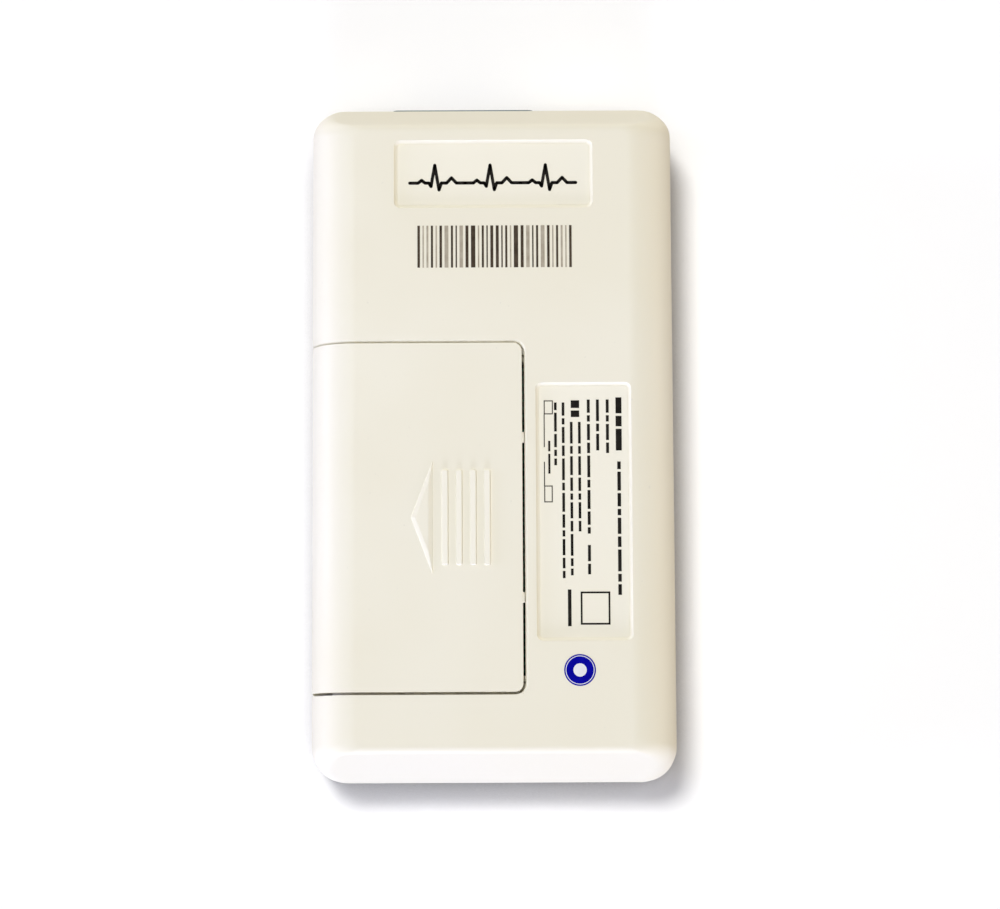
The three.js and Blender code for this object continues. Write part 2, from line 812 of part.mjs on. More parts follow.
function mainBoard() {
  const length = boardUpperEdge - boardLowerEdge;
  const centreY = (boardUpperEdge + boardLowerEdge) / 2;
  const outline = roundedRectangle(2 * boardHalfWidth, length, boardCornerRadius);
  let board = slab(outline, [0, centreY], [boardBottom, boardTop]);
  for (const place of caseScrewPlaces) {
    board = board.subtract(post(place, bossRadius + clearance, through(boardBottom, boardTop)));
  }
  for (const place of boardScrewPlaces) {
    board = board.subtract(post(place, boardHoleRadius, through(boardBottom, boardTop), holeSides));
  }
  return board;
}

// A chip on the board's back face, with legs along its long sides.
function chip([x, y], { width, length, height, legs }) {
  const range = [boardTop + chipLift, boardTop + height];
  let body = block(around(x, width / 2), around(y, length / 2), range);
  for (let leg = 0; leg < legs; leg += 1) {
    const legY = y + ((leg + 0.5) / legs - 0.5) * length;
    body = body.add(
      block(around(x, width / 2 + legReach), around(legY, legWidth / 2), [boardTop, boardTop + legHeight]),
    );
  }
  return body;
}

// The clock crystal: a short can with round ends.
function clockCrystal() {
  const { width, length, height } = crystal;
  const outline = roundedRectangle(width, length, width / 2 - roundEndMargin);
  return slab(outline, crystalPlace, [boardTop, boardTop + height]);
}

// The power coil: two end plates on a wound neck.
function powerCoil() {
  const { size, plate, neckRadius, height } = coil;
  const outline = roundedRectangle(size, size, coil.cornerRadius);
  const top = boardTop + height;
  return union([
    slab(outline, coilPlace, [boardTop, boardTop + plate]),
    post(coilPlace, neckRadius, [boardTop + plate / 2, top - plate / 2]),
    slab(outline, coilPlace, [top - plate, top]),
  ]);
}

function connectorHousing() {
  const inner = {
    x: [connectorX - socketWidth / 2, connectorX + socketWidth / 2],
    z: [connectorHeight - socketTall / 2, connectorHeight + socketTall / 2],
  };
  let housing = block(
    [connectorX - housingHalfX, connectorX + housingHalfX],
    [housingBack, housingFront],
    [connectorHeight - housingHalfZ, connectorHeight + housingHalfZ],
  ).subtract(block(inner.x, [housingBack + socketBack, housingFront + overrun], inner.z));
  for (const [x, z] of pinPlaces()) {
    const half = pinSize / 2 + clearance;
    housing = housing.subtract(
      block(around(x, half), through(housingBack, housingBack + socketBack), around(z, half)),
    );
  }
  return housing;
}

function connectorFlange() {
  const shape = roundedRectangle(flangeWidth, flangeTall, flangeCornerRadius);
  shape.holes.push(roundedRectangle(socketWidth, socketTall, socketCornerRadius));
  const depth = flangeThickness;
  const geometry = new THREE.ExtrudeGeometry(shape, { depth, bevelEnabled: false, curveSegments: 5 });
  geometry.rotateX(Math.PI / 2);
  geometry.translate(connectorX, housingFront + flangeThickness, connectorHeight);
  return solidFrom(geometry);
}

function pinPlaces() {
  const places = [];
  for (const row of [-1, 1]) {
    for (let column = 0; column < pinColumns; column += 1) {
      const x = connectorX + (column - (pinColumns - 1) / 2) * pinPitch;
      places.push([x, connectorHeight + pinRowLift + row * pinRowOffset]);
    }
  }
  return places;
}

function connectorPins() {
  const halfX = (pinColumns * pinPitch) / 2;
  const wafer = block(
    [connectorX - halfX, connectorX + halfX],
    [housingBack - waferThickness, housingBack],
    [boardTop, connectorHeight + pinRowOffset + 2 * pinSize],
  );
  const tip = housingBack + socketBack + pinReach;
  const pins = pinPlaces().map(([x, z]) =>
    block(around(x, pinSize / 2), [housingBack - waferThickness / 2, tip], around(z, pinSize / 2)),
  );
  return union([wafer, ...pins]);
}

function displayLens() {
  const outline = roundedRectangle(lensWidth, lensLength, lensCornerRadius - seam);
  return slab(outline, [0, lensY], [lensRecess, lensRecess + lensThickness]);
}

function displayModule() {
  const halfX = windowHalfX + moduleMargin;
  return block(around(0, halfX), around(lensY, moduleHalfY), [moduleFront, moduleBack]);
}

function displayCarrier() {
  const frame = block(around(0, windowHalfX), around(lensY, windowHalfY), [moduleBack, boardBottom]);
  const inside = block(
    around(0, windowHalfX - carrierBorder),
    around(lensY, windowHalfY - carrierBorder),
    through(moduleBack, boardBottom),
  );
  return frame.subtract(inside);
}

// The display's flat cable, bent from the module's lower edge onto the board's front face.
function displayRibbon() {
  const start = lensY - moduleHalfY;
  const bendStart = start - ribbonFlat;
  const bendEnd = bendStart - ribbonBend;
  const tail = bendEnd - ribbonPad;
  const high = boardBottom - ribbonThickness;
  const mid = (moduleFront + moduleBack) / 2;
  return crossways(
    [
      [start, mid - ribbonThickness],
      [bendStart, mid - ribbonThickness],
      [bendEnd, high],
      [tail, high],
      [tail, boardBottom],
      [bendEnd + ribbonBendOffset, boardBottom],
      [bendStart + ribbonBendOffset, mid],
      [start, mid],
    ],
    0,
    ribbonWidth,
  );
}

function disc(radius) {
  return (grow) => {
    const shape = new THREE.Shape();
    shape.absarc(0, 0, radius + grow, 0, Math.PI * 2);
    return shape;
  };
}

function capsule(width, length) {
  return (grow) => {
    const w = width + 2 * grow;
    const l = length + 2 * grow;
    return roundedRectangle(w, l, Math.min(w, l) / 2 - roundEndMargin);
  };
}

const across = capsule(keyLength, keyWidth);
const along = capsule(keyWidth, keyLength);
const buttons = [
  { name: "event", outline: disc(eventRadius), place: [0, clusterY], segments: 14 },
  { name: "up", outline: across, place: [0, clusterY + keyOffset], segments: 5 },
  { name: "down", outline: across, place: [0, clusterY - keyOffset], segments: 5 },
  { name: "back", outline: along, place: [keyOffset, clusterY], segments: 5 },
  { name: "confirm", outline: along, place: [-keyOffset, clusterY], segments: 5 },
];

// A button cap with the flange that keeps it behind the front face.
function buttonCap({ outline, place, segments }) {
  return slab(outline(0), place, [buttonRecess, flangeFront + buttonFlangeThickness / 2], segments).add(
    slab(outline(flangeReach), place, [flangeFront, flangeFront + buttonFlangeThickness], segments),
  );
}

// A push switch on the board's front face, with its plunger towards the button.
function pushSwitch([x, y]) {
  const half = switchSize / 2;
  const plungerRange = around(switchFace, plungerHeight);
  return block(around(x, half), around(y, half), [switchFace, boardBottom]).add(
    post([x, y], plungerRadius, plungerRange, shankSides),
  );
}

const recorder = new THREE.Group();

function addPiece(name, solid, material) {
  const mesh = new THREE.Mesh(geometryFrom(solid), material);
  mesh.name = name;
  recorder.add(mesh);
}

addPiece("rear_shell", rearShell(), finishes.shell);
addPiece("front_shell", frontShell(), finishes.shell);
addPiece("battery_door", batteryDoor(), finishes.shell);
addPiece("name_label", blankLabel(nameLabel), finishes.label);
addPiece("rating_label", blankLabel(ratingLabel), finishes.label);
addPiece("aaa_cell_outer", cell(outerCellX, 1), finishes.cell);
addPiece("aaa_cell_inner", cell(innerCellX, -1), finishes.cell);
addPiece("battery_contact_positive", positiveContact(), finishes.contact);
addPiece("battery_contact_negative", negativeContact(), finishes.contact);
addPiece("battery_contact_bridge", bridgeContact(), finishes.contact);
addPiece("main_board", mainBoard(), finishes.board);
addPiece("processor_chip", chip(processorPlace, processorChip), finishes.chip);
addPiece("memory_chip", chip(memoryPlace, memoryChip), finishes.chip);
addPiece("amplifier_chip", chip(amplifierPlace, amplifierChip), finishes.chip);
addPiece("clock_crystal", clockCrystal(), finishes.contact);
addPiece("power_coil", powerCoil(), finishes.chip);
addPiece("lead_connector_housing", connectorHousing(), finishes.connector);
addPiece("lead_connector_flange", connectorFlange(), finishes.connector);
addPiece("lead_connector_pins", connectorPins(), finishes.pin);
addPiece("display_lens", displayLens(), finishes.lens);
addPiece("display_module", displayModule(), finishes.display);
addPiece("display_carrier", displayCarrier(), finishes.foam);
addPiece("display_ribbon", displayRibbon(), finishes.ribbon);
for (const button of buttons) {
  const material = button.name === "event" ? finishes.eventButton : finishes.button;
  addPiece(`${button.name}_button`, buttonCap(button), material);
  addPiece(`${button.name}_switch`, pushSwitch(button.place), finishes.chip);
}
caseScrewPlaces.forEach((place, index) => {
  addPiece(`case_screw_${index + 1}`, caseScrew(place), finishes.screw);
});
boardScrewPlaces.forEach((place, index) => {
  addPiece(`board_screw_${index + 1}`, boardScrew(place), finishes.screw);
});

export default recorder;
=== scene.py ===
"""A pocket heart monitor recorder, lying on its front face, dressed for its portrait.

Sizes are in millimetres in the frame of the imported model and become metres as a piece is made.
"""

import logging
import math
from contextlib import contextmanager
from dataclasses import astuple, dataclass, field
from enum import Enum
from typing import Callable, Iterator, Sequence

import bmesh
import bpy
from mathutils import Matrix, Vector


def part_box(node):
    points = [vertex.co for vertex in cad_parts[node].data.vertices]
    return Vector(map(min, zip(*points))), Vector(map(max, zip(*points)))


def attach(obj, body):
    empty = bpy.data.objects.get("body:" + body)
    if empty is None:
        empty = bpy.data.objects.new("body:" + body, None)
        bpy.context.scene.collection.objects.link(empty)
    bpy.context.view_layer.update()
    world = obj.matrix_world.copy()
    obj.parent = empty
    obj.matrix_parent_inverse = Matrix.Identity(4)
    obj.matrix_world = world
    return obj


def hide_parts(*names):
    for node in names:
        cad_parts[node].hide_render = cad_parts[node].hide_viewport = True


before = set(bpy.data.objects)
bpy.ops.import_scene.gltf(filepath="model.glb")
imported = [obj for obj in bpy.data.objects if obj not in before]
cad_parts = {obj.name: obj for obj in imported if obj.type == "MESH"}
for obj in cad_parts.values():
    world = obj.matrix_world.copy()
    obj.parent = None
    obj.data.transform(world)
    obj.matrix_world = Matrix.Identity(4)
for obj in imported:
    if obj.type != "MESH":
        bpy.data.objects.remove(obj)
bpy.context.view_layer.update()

MM = 0.001
# How near an outline a place counts as on it, and how far a normal has to lean towards an axis
# for its face to count as facing it.
NEAR = 0.02
FACING = 0.9
IMAGE_WIDTH = 1000
IMAGE_HEIGHT = 909

log = logging.getLogger("recorder")

Piece = bpy.types.Object
Place = Sequence[float]
Colour = tuple[float, float, float]
NodeSocket = bpy.types.NodeSocket
NodeOutputs = bpy.types.bpy_prop_collection


# Modelling


class Part(Enum):
    """What is picked in edit mode."""

    EDGES = "EDGE"
    FACES = "FACE"


class Join(Enum):
    """How one solid is combined with another."""

    CUT = "DIFFERENCE"
    ADD = "UNION"
    SHARE = "INTERSECT"


class Axis(Enum):
    """An axis that a form runs along, with the turn that takes +Z to it."""

    Y = (-math.pi / 2, 0.0, 0.0)
    Z = (0.0, 0.0, 0.0)


def take(piece: Piece | None) -> None:
    """Makes one piece the only selected and the active one.

    Args:
        piece: The piece to work on, or None to select nothing.
    """
    bpy.ops.object.select_all(action="DESELECT")
    if piece:
        piece.select_set(True)
        bpy.context.view_layer.objects.active = piece


@contextmanager
def shaping(piece: Piece) -> Iterator[None]:
    """Opens a piece in edit mode with all of it picked, and closes it again.

    Args:
        piece: The piece to shape.

    Yields:
        Nothing, while the piece is open.
    """
    take(piece)
    bpy.ops.object.mode_set(mode="EDIT")
    pick_all()
    try:
        yield
    finally:
        bpy.ops.object.mode_set(mode="OBJECT")


def pick_all() -> None:
    """Picks all of the piece that is open in edit mode."""
    bpy.ops.mesh.select_all(action="SELECT")


def pick(piece: Piece, part: Part, test: Callable[..., bool]) -> None:
    """Picks edges or faces of the piece that is open in edit mode.

    Args:
        piece: The piece in edit mode.
        part: What is picked.
        test: Takes a place in mm with the normals of an edge's faces, or with a face's normal.
    """
    bpy.ops.mesh.select_mode(type=part.value)
    bpy.ops.mesh.select_all(action="DESELECT")
    shape = bmesh.from_edit_mesh(piece.data)
    shape.normal_update()
    if part is Part.EDGES:
        for edge in shape.edges:
            middle = (edge.verts[0].co + edge.verts[1].co) / (2 * MM)
            if test(middle, [face.normal for face in edge.link_faces]):
                edge.select_set(True)
    else:
        for face in shape.faces:
            if test(face.calc_center_median() / MM, face.normal):
                face.select_set(True)
    bmesh.update_edit_mesh(piece.data)


def bevel(width: float, steps: int) -> None:
    """Rounds the picked edges to a width in mm."""
    bpy.ops.mesh.bevel(offset=width * MM, segments=steps, affect="EDGES")


def inset(width: float) -> None:
    """Draws the picked faces' outline in by a width in mm."""
    bpy.ops.mesh.inset(thickness=width * MM)


def draw_out(*shift: float) -> None:
    """Draws the picked faces out along X, Y and Z by a shift in mm."""
    move = {"value": tuple(part * MM for part in shift)}
    bpy.ops.mesh.extrude_region_move(TRANSFORM_OT_translate=move)


def face_outwards() -> None:
    """Turns every normal of the piece in edit mode outwards."""
    pick_all()
    bpy.ops.mesh.normals_make_consistent(inside=False)


def applied(piece: Piece, kind: str, **settings: object) -> Piece:
    """Gives a piece a modifier and applies it.

    Args:
        piece: The piece.
        kind: The modifier's type.
        settings: The modifier's own properties.

    Returns:
        The same piece.
    """
    modifier = piece.modifiers.new("step", kind)
    for key, value in settings.items():
        setattr(modifier, key, value)
    take(piece)
    bpy.ops.object.modifier_apply(modifier=modifier.name)
    return piece


def settle(piece: Piece, name: str) -> Piece:
    """Names a new primitive and moves its place into its mesh.

    Args:
        piece: The new object.
        name: Its name.

    Returns:
        The same object.
    """
    piece.name = name
    piece.data.name = name
    take(piece)
    bpy.ops.object.transform_apply(location=True, rotation=True, scale=True)
    return piece


def block(name: str, low: Place, high: Place) -> Piece:
    """A box between two corners.

    Args:
        name: The piece's name.
        low: Lowest corner.
        high: Highest corner.

    Returns:
        The box.
    """
    take(None)
    low_point, high_point = Vector(low) * MM, Vector(high) * MM
    bpy.ops.mesh.primitive_cube_add(size=1, location=(low_point + high_point) / 2)
    bpy.context.object.scale = high_point - low_point
    return settle(bpy.context.object, name)


def rod(
    name: str, centre: Place, radius: float, length: float, axis: Axis = Axis.Z, sides: int = 40
) -> Piece:
    """A round rod about its centre.

    Args:
        name: The piece's name.
        centre: Its middle.
        radius: Its radius.
        length: Its length.
        axis: The axis that it runs along.
        sides: How many sides its section has.

    Returns:
        The rod.
    """
    take(None)
    bpy.ops.mesh.primitive_cylinder_add(
        vertices=sides,
        radius=radius * MM,
        depth=length * MM,
        location=Vector(centre) * MM,
        rotation=axis.value,
    )
    return settle(bpy.context.object, name)


def outline(width: float, length: float, radius: float, steps: int) -> Piece:
    """A flat rounded rectangle about the origin, as one face.

    Args:
        width: Its size on X.
        length: Its size on Y.
        radius: Its corner radius.
        steps: Segments in each corner.

    Returns:
        The outline, still open to shaping.
    """
    take(None)
    bpy.ops.mesh.primitive_plane_add(size=1, location=(0, 0, 0))
    piece = settle(bpy.context.object, "outline")
    with shaping(piece):
        bpy.ops.transform.resize(value=(width * MM, length * MM, 1))
        bpy.ops.mesh.bevel(offset=radius * MM, segments=steps, affect="VERTICES")
    return piece


def plate(
    name: str,
    centre: Place,
    size: Place,
    radius: float,
    low: float,
    high: float,
    steps: int = 6,
    axis: Axis = Axis.Z,
) -> Piece:
    """A rounded rectangle drawn out into a plate.

    Args:
        name: The piece's name.
        centre: Middle of the outline on X and Y, or on X and Z where it is drawn out on Y.
        size: Width and length of the outline.
        radius: Corner radius of the outline.
        low: Where the plate begins along its axis.
        high: Where it ends.
        steps: Segments in each corner.
        axis: The axis that it is drawn out along, Z or Y.

    Returns:
        The plate.
    """
    piece = outline(size[0], size[1], radius, steps)
    with shaping(piece):
        draw_out(0, 0, high - low)
        face_outwards()
    place = (centre[0], centre[1], low)
    if axis is Axis.Y:
        piece.rotation_euler = Axis.Y.value
        place = (centre[0], low, centre[1])
    piece.location = Vector(place) * MM
    return settle(piece, name)


def post(name: str, place: Place, radius: float, low: float, high: float) -> Piece:
    """An upright rod between two heights."""
    return rod(name, (place[0], place[1], (low + high) / 2), radius, high - low)


def box_of(node: str) -> tuple[Vector, Vector]:
    """A CAD node's lowest and highest corner, in mm."""
    low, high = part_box(node)
    return low / MM, high / MM


def copied(piece: Piece, shift: Place) -> Piece:
    """A copy of a piece with its own mesh.

    Args:
        piece: The piece to copy.
        shift: How far the copy is moved.

    Returns:
        The copy.
    """
    take(piece)
    bpy.ops.object.duplicate(linked=False)
    bpy.ops.transform.translate(value=Vector(shift) * MM)
    return settle(bpy.context.object, "copy")


def joined(name: str, pieces: Sequence[Piece]) -> Piece:
    """Several pieces as one object, each still a closed body of its own.

    Args:
        name: The new name.
        pieces: The pieces to join, of which there are at least two.

    Returns:
        The joined piece.
    """
    take(pieces[0])
    for piece in pieces[1:]:
        piece.select_set(True)
    bpy.ops.object.join()
    return settle(bpy.context.object, name)


def combine(piece: Piece, tool: Piece, how: Join) -> Piece:
    """Cuts a piece with a tool, adds the tool to it or keeps what they share.

    Args:
        piece: The piece that is kept.
        tool: The solid that is used up.
        how: How they are combined.

    Returns:
        The same piece.
    """
    applied(piece, "BOOLEAN", operation=how.value, solver="EXACT", object=tool)
    bpy.data.objects.remove(tool, do_unlink=True)
    return piece


def soften(piece: Piece, width: float, steps: int = 2, angle: float = 40) -> Piece:
    """Rounds every edge that is sharper than an angle.

    Args:
        piece: The piece.
        width: How wide the rounding is.
        steps: Its segments.
        angle: The least angle that is rounded, in degrees.

    Returns:
        The same piece.
    """
    least = math.radians(angle)
    settings = {"limit_method": "ANGLE", "angle_limit": least, "use_clamp_overlap": True}
    return applied(piece, "BEVEL", width=width * MM, segments=steps, **settings)


def round_edges(piece: Piece, width: float, steps: int, test: Callable[..., bool]) -> None:
    """Rounds the edges that pass a test.

    Args:
        piece: The piece.
        width: How wide the rounding is.
        steps: Its segments.
        test: Takes an edge's middle in mm and the normals of its faces.
    """
    with shaping(piece):
        pick(piece, Part.EDGES, test)
        bevel(width, steps)


def smoothed(piece: Piece, angle: float = 32) -> Piece:
    """Shades a piece smoothly over its rounded faces and evenly over its flat ones.

    Args:
        piece: The piece.
        angle: The angle above which an edge stays sharp, in degrees.

    Returns:
        The same piece.
    """
    take(piece)
    bpy.ops.object.shade_smooth_by_angle(angle=math.radians(angle))
    return applied(piece, "WEIGHTED_NORMAL", keep_sharp=True, weight=60)


# Node sheets


class Sheet:
    """A node tree while it is wired."""

    def __init__(self, tree: bpy.types.NodeTree) -> None:
        """Takes the tree to wire."""
        self.tree = tree

    def put(self, node: bpy.types.Node, key: str | int, value: object) -> None:
        """Feeds a node's socket with a value or with another node's socket.

        Args:
            node: The node.
            key: The socket's name or number.
            value: What goes into it.
        """
        if isinstance(value, bpy.types.NodeSocket):
            self.tree.links.new(value, node.inputs[key])
        else:
            node.inputs[key].default_value = value

    def add(self, kind: str, inputs: dict | None = None, **settings: object) -> bpy.types.Node:
        """Adds a node.

        Args:
            kind: The node's type name.
            inputs: What goes into its sockets, by name or number.
            settings: The node's own properties.

        Returns:
            The node.
        """
        node = self.tree.nodes.new(kind)
        for key, value in settings.items():
            setattr(node, key, value)
        for key, value in (inputs or {}).items():
            self.put(node, key, value)
        return node

    def counted(self, how: str, first: object, second: object, clamp: bool = False) -> NodeSocket:
        """Reckons with two numbers."""
        inputs = {0: first, 1: second}
        return self.add("ShaderNodeMath", inputs, operation=how, use_clamp=clamp).outputs[0]

    def mixed(self, mask: object, first: object, second: object) -> NodeSocket:
        """Mixes two colours by a mask and gives the colour's socket."""
        node = self.add("ShaderNodeMix", {0: mask, 6: first, 7: second}, data_type="RGBA")
        return node.outputs[2]

    def spread(self, value: object, low: float, high: float) -> NodeSocket:
        """Spreads a mask from 0 to 1 between two values and gives the result's socket."""
        return self.add("ShaderNodeMapRange", {0: value, 3: low, 4: high}).outputs[0]

    def masked(self, value: object, low: float, high: float) -> NodeSocket:
        """Makes a mask that grows from 0 to 1 between two values and gives its socket."""
        return self.add("ShaderNodeMapRange", {0: value, 1: low, 2: high}).outputs[0]


class EffectSheet(Sheet):
    """A shared node group, with a place and some numbers as inputs and masks as outputs."""

    def __init__(self, name: str, numbers: dict[str, float], outputs: Sequence[str]) -> None:
        """Starts the group.

        Args:
            name: The group's name.
            numbers: Name and usual value of each number that goes in.
            outputs: Name of each mask that comes out.
        """
        super().__init__(bpy.data.node_groups.new(name, "ShaderNodeTree"))
        sockets = self.tree.interface
        sockets.new_socket("Place", in_out="INPUT", socket_type="NodeSocketVector")
        for label, usual in numbers.items():
            socket = sockets.new_socket(label, in_out="INPUT", socket_type="NodeSocketFloat")
            socket.default_value = usual
        for label in outputs:
            sockets.new_socket(label, in_out="OUTPUT", socket_type="NodeSocketFloat")
        self.given = self.add("NodeGroupInput").outputs
        self.made = self.add("NodeGroupOutput")

    def noise(self, scale: object, detail: float = 2.0, place: object = None) -> NodeSocket:
        """Adds a noise over the place."""
        inputs = {"Vector": place or self.given["Place"], "Scale": scale, "Detail": detail}
        return self.add("ShaderNodeTexNoise", inputs).outputs[0]


def mould_grain() -> bpy.types.NodeTree:
    """The fine spark-eroded grain of a moulding, with slow patches and rare fine specks.

    Returns:
        The node group.
    """
    usual = {"Grain": 2600.0, "Patches": 26.0}
    sheet = EffectSheet("mould_grain", usual, ("Height", "Patch", "Speck"))
    fine = sheet.noise(sheet.given["Grain"])
    slow = sheet.noise(sheet.given["Patches"], 3.0)
    dots = sheet.noise(1500.0, 1.0)
    sheet.put(sheet.made, "Height", fine)
    sheet.put(sheet.made, "Patch", sheet.masked(slow, 0.35, 0.65))
    sheet.put(sheet.made, "Speck", sheet.masked(dots, 0.78, 0.84))
    return sheet.tree


def drawn_metal() -> bpy.types.NodeTree:
    """Fine lines along Y as drawing or brushing leaves them, with slow stains.

    Returns:
        The node group.
    """
    sheet = EffectSheet("drawn_metal", {"Lines": 900.0, "Stains": 120.0}, ("Height", "Stain"))
    stretch = {"Vector": sheet.given["Place"], "Scale": (1.0, 0.04, 1.0)}
    along = sheet.add("ShaderNodeMapping", stretch).outputs[0]
    slow = sheet.noise(sheet.given["Stains"], 4.0)
    sheet.put(sheet.made, "Height", sheet.noise(sheet.given["Lines"], 3.0, along))
    sheet.put(sheet.made, "Stain", sheet.masked(slow, 0.4, 0.7))
    return sheet.tree


class MaterialSheet(Sheet):
    """A material's node tree, with its shader and the place on the object."""

    def __init__(self, tree: bpy.types.NodeTree) -> None:
        """Takes the material's tree.

        Args:
            tree: The tree, with its shader in place.
        """
        super().__init__(tree)
        self.shader = tree.nodes["Principled BSDF"]
        self.place = self.add("ShaderNodeTexCoord").outputs["Object"]

    def feed(self, key: str, value: object) -> None:
        """Feeds one of the shader's sockets."""
        self.put(self.shader, key, value)

    def effect(self, builder: Callable[[], bpy.types.NodeTree], **numbers: float) -> NodeOutputs:
        """Places a shared effect, which is built the first time it is asked for.

        Args:
            builder: The function that builds the effect's group.
            numbers: The effect's numbers in this material.

        Returns:
            The effect's outputs.
        """
        group = bpy.data.node_groups.get(builder.__name__) or builder()
        node = self.add("ShaderNodeGroup", node_tree=group)
        for key, value in {"Place": self.place, **numbers}.items():
            self.put(node, key, value)
        return node.outputs

    def bricks(self, scale: float, mortar: float, width: float, **settings: float) -> NodeSocket:
        """Adds blocks of even size with lines between them.

        Args:
            scale: How many blocks there are to a metre.
            mortar: How wide the lines are.
            width: How wide the blocks are.
            settings: The node's own properties.

        Returns:
            The mask, which is 1 on the lines.
        """
        inputs = {"Scale": scale, "Mortar Size": mortar, "Brick Width": width}
        inputs["Vector"] = self.place
        return self.add("ShaderNodeTexBrick", inputs, **settings).outputs["Fac"]

    def tinted(self, mask: NodeSocket, first: Colour, second: Colour) -> None:
        """Varies the main colour between two colours by a mask."""
        self.feed("Base Color", self.mixed(mask, opaque(first), opaque(second)))

    def dulled(self, mask: NodeSocket, first: float, second: float) -> None:
        """Varies the roughness between two values by a mask."""
        self.feed("Roughness", self.spread(mask, first, second))

    def strayed(self, mask: NodeSocket, middle: float, stray: float) -> None:
        """Varies the roughness both ways from a middle by a mask."""
        self.dulled(mask, middle - stray, middle + stray)

    def bump(self, height: NodeSocket, strength: float, depth: float) -> None:
        """Turns a height into the shader's normal."""
        inputs = {"Strength": strength, "Distance": depth * MM, "Height": height}
        self.feed("Normal", self.add("ShaderNodeBump", inputs).outputs[0])


# Finishes


def opaque(colour: Colour) -> tuple[float, float, float, float]:
    """A colour with full cover."""
    return (*colour, 1.0)


@dataclass(frozen=True)
class Finish:
    """What a material is made of, as a start for each kind.

    Attributes:
        name: The material's name.
        colour: Its main colour, linear.
        roughness: Its usual roughness.
    """

    name: str
    colour: Colour
    roughness: float

    def material(self) -> bpy.types.Material:
        """Gives the material and builds it the first time.

        Returns:
            The material.
        """
        known = bpy.data.materials.get(self.name)
        if known:
            return known
        material = bpy.data.materials.new(self.name)
        material.use_nodes = True
        material.diffuse_color = opaque(self.colour)
        sheet = MaterialSheet(material.node_tree)
        sheet.feed("Base Color", opaque(self.colour))
        sheet.feed("Roughness", self.roughness)
        self.wire(sheet)
        return material

    def wire(self, sheet: MaterialSheet) -> None:
        """Wires what varies over the surface."""
        raise NotImplementedError


@dataclass(frozen=True)
class Moulded(Finish):
    """Moulded plastic with a fine grain.

    Attributes:
        tint: The colour of its slow patches.
        grain: How many grains there are to a metre.
        relief: How strong the grain's relief is.
        sheen_range: How far the roughness strays.
        specular: How strongly it shines, where 0.5 is usual for plastic.
    """

    tint: Colour = (0.8, 0.8, 0.8)
    grain: float = 2600.0
    relief: float = 0.12
    sheen_range: float = 0.05
    specular: float = 0.5
    speck: float = 0.93
    depth: float = 0.02

    def wire(self, sheet: MaterialSheet) -> None:
        """Wires tint, roughness and grain.

        Args:
            sheet: The material's sheet.
        """
        sheet.feed("Specular IOR Level", self.specular)
        grain = sheet.effect(mould_grain, Grain=self.grain)
        colour = sheet.mixed(grain["Patch"], opaque(self.colour), opaque(self.tint))
        dark = tuple(self.speck * part for part in self.colour)
        sheet.feed("Base Color", sheet.mixed(grain["Speck"], colour, opaque(dark)))
        sheet.strayed(grain["Patch"], self.roughness, self.sheen_range)
        sheet.bump(grain["Height"], self.relief, self.depth)


@dataclass(frozen=True)
class Metal(Finish):
    """Plated or drawn metal."""

    stain: Colour = (0.4, 0.4, 0.4)
    lines: float = 900.0
    dulling: float = 0.18
    relief: float = 0.15
    depth: float = 0.02

    def wire(self, sheet: MaterialSheet) -> None:
        """Wires stains, roughness and drawing lines.

        Args:
            sheet: The material's sheet.
        """
        sheet.feed("Metallic", 1.0)
        drawn = sheet.effect(drawn_metal, Lines=self.lines)
        sheet.tinted(drawn["Stain"], self.colour, self.stain)
        sheet.dulled(drawn["Stain"], self.roughness, self.roughness + self.dulling)
        sheet.bump(drawn["Height"], self.relief, self.depth)


@dataclass(frozen=True)
class Ink(Finish):
    """Screen-printed ink, a little thinner in places."""

    thin: Colour = (0.1, 0.1, 0.1)
    sheen_range: float = 0.08
    specular: float = 0.02

    def wire(self, sheet: MaterialSheet) -> None:
        """Wires the ink's uneven cover.

        Args:
            sheet: The material's sheet.
        """
        sheet.feed("Specular IOR Level", self.specular)
        grain = sheet.effect(mould_grain, Grain=5200.0, Patches=700.0)
        sheet.tinted(grain["Patch"], self.colour, self.thin)
        sheet.strayed(grain["Height"], self.roughness, self.sheen_range)


@dataclass(frozen=True)
class CircuitBoard(Finish):
    """Solder mask over copper tracks."""

    track: Colour = (0.03, 0.2, 0.09)
    gloss: float = 0.12
    relief: float = 0.3
    depth: float = 0.035

    def wire(self, sheet: MaterialSheet) -> None:
        """Wires tracks as the lines between blocks of even size.

        Args:
            sheet: The material's sheet.
        """
        tracks = sheet.bricks(220.0, 0.05, 0.8)
        sheet.tinted(tracks, self.colour, self.track)
        sheet.dulled(tracks, self.roughness, self.roughness - self.gloss)
        sheet.bump(tracks, self.relief, self.depth)


@dataclass(frozen=True)
class Foam(Finish):
    """Closed-cell foam."""

    hollow: Colour = (0.01, 0.01, 0.01)
    relief: float = 0.6
    depth: float = 0.15

    def wire(self, sheet: MaterialSheet) -> None:
        """Wires the foam's cells.

        Args:
            sheet: The material's sheet.
        """
        inputs = {"Vector": sheet.place, "Scale": 1800.0}
        cells = sheet.add("ShaderNodeTexVoronoi", inputs).outputs[0]
        sheet.tinted(cells, self.colour, self.hollow)
        sheet.bump(cells, self.relief, self.depth)


@dataclass(frozen=True)
class Window(Finish):
    """Hard-coated clear acrylic."""

    clearness: float = 0.9
    bending: float = 1.49
    wear: float = 0.05

    def wire(self, sheet: MaterialSheet) -> None:
        """Wires faint wiping marks into the roughness.

        Args:
            sheet: The material's sheet.
        """
        sheet.feed("Transmission Weight", self.clearness)
        sheet.feed("IOR", self.bending)
        grain = sheet.effect(mould_grain, Grain=900.0, Patches=90.0)
        sheet.dulled(grain["Patch"], self.roughness, self.roughness + self.wear)


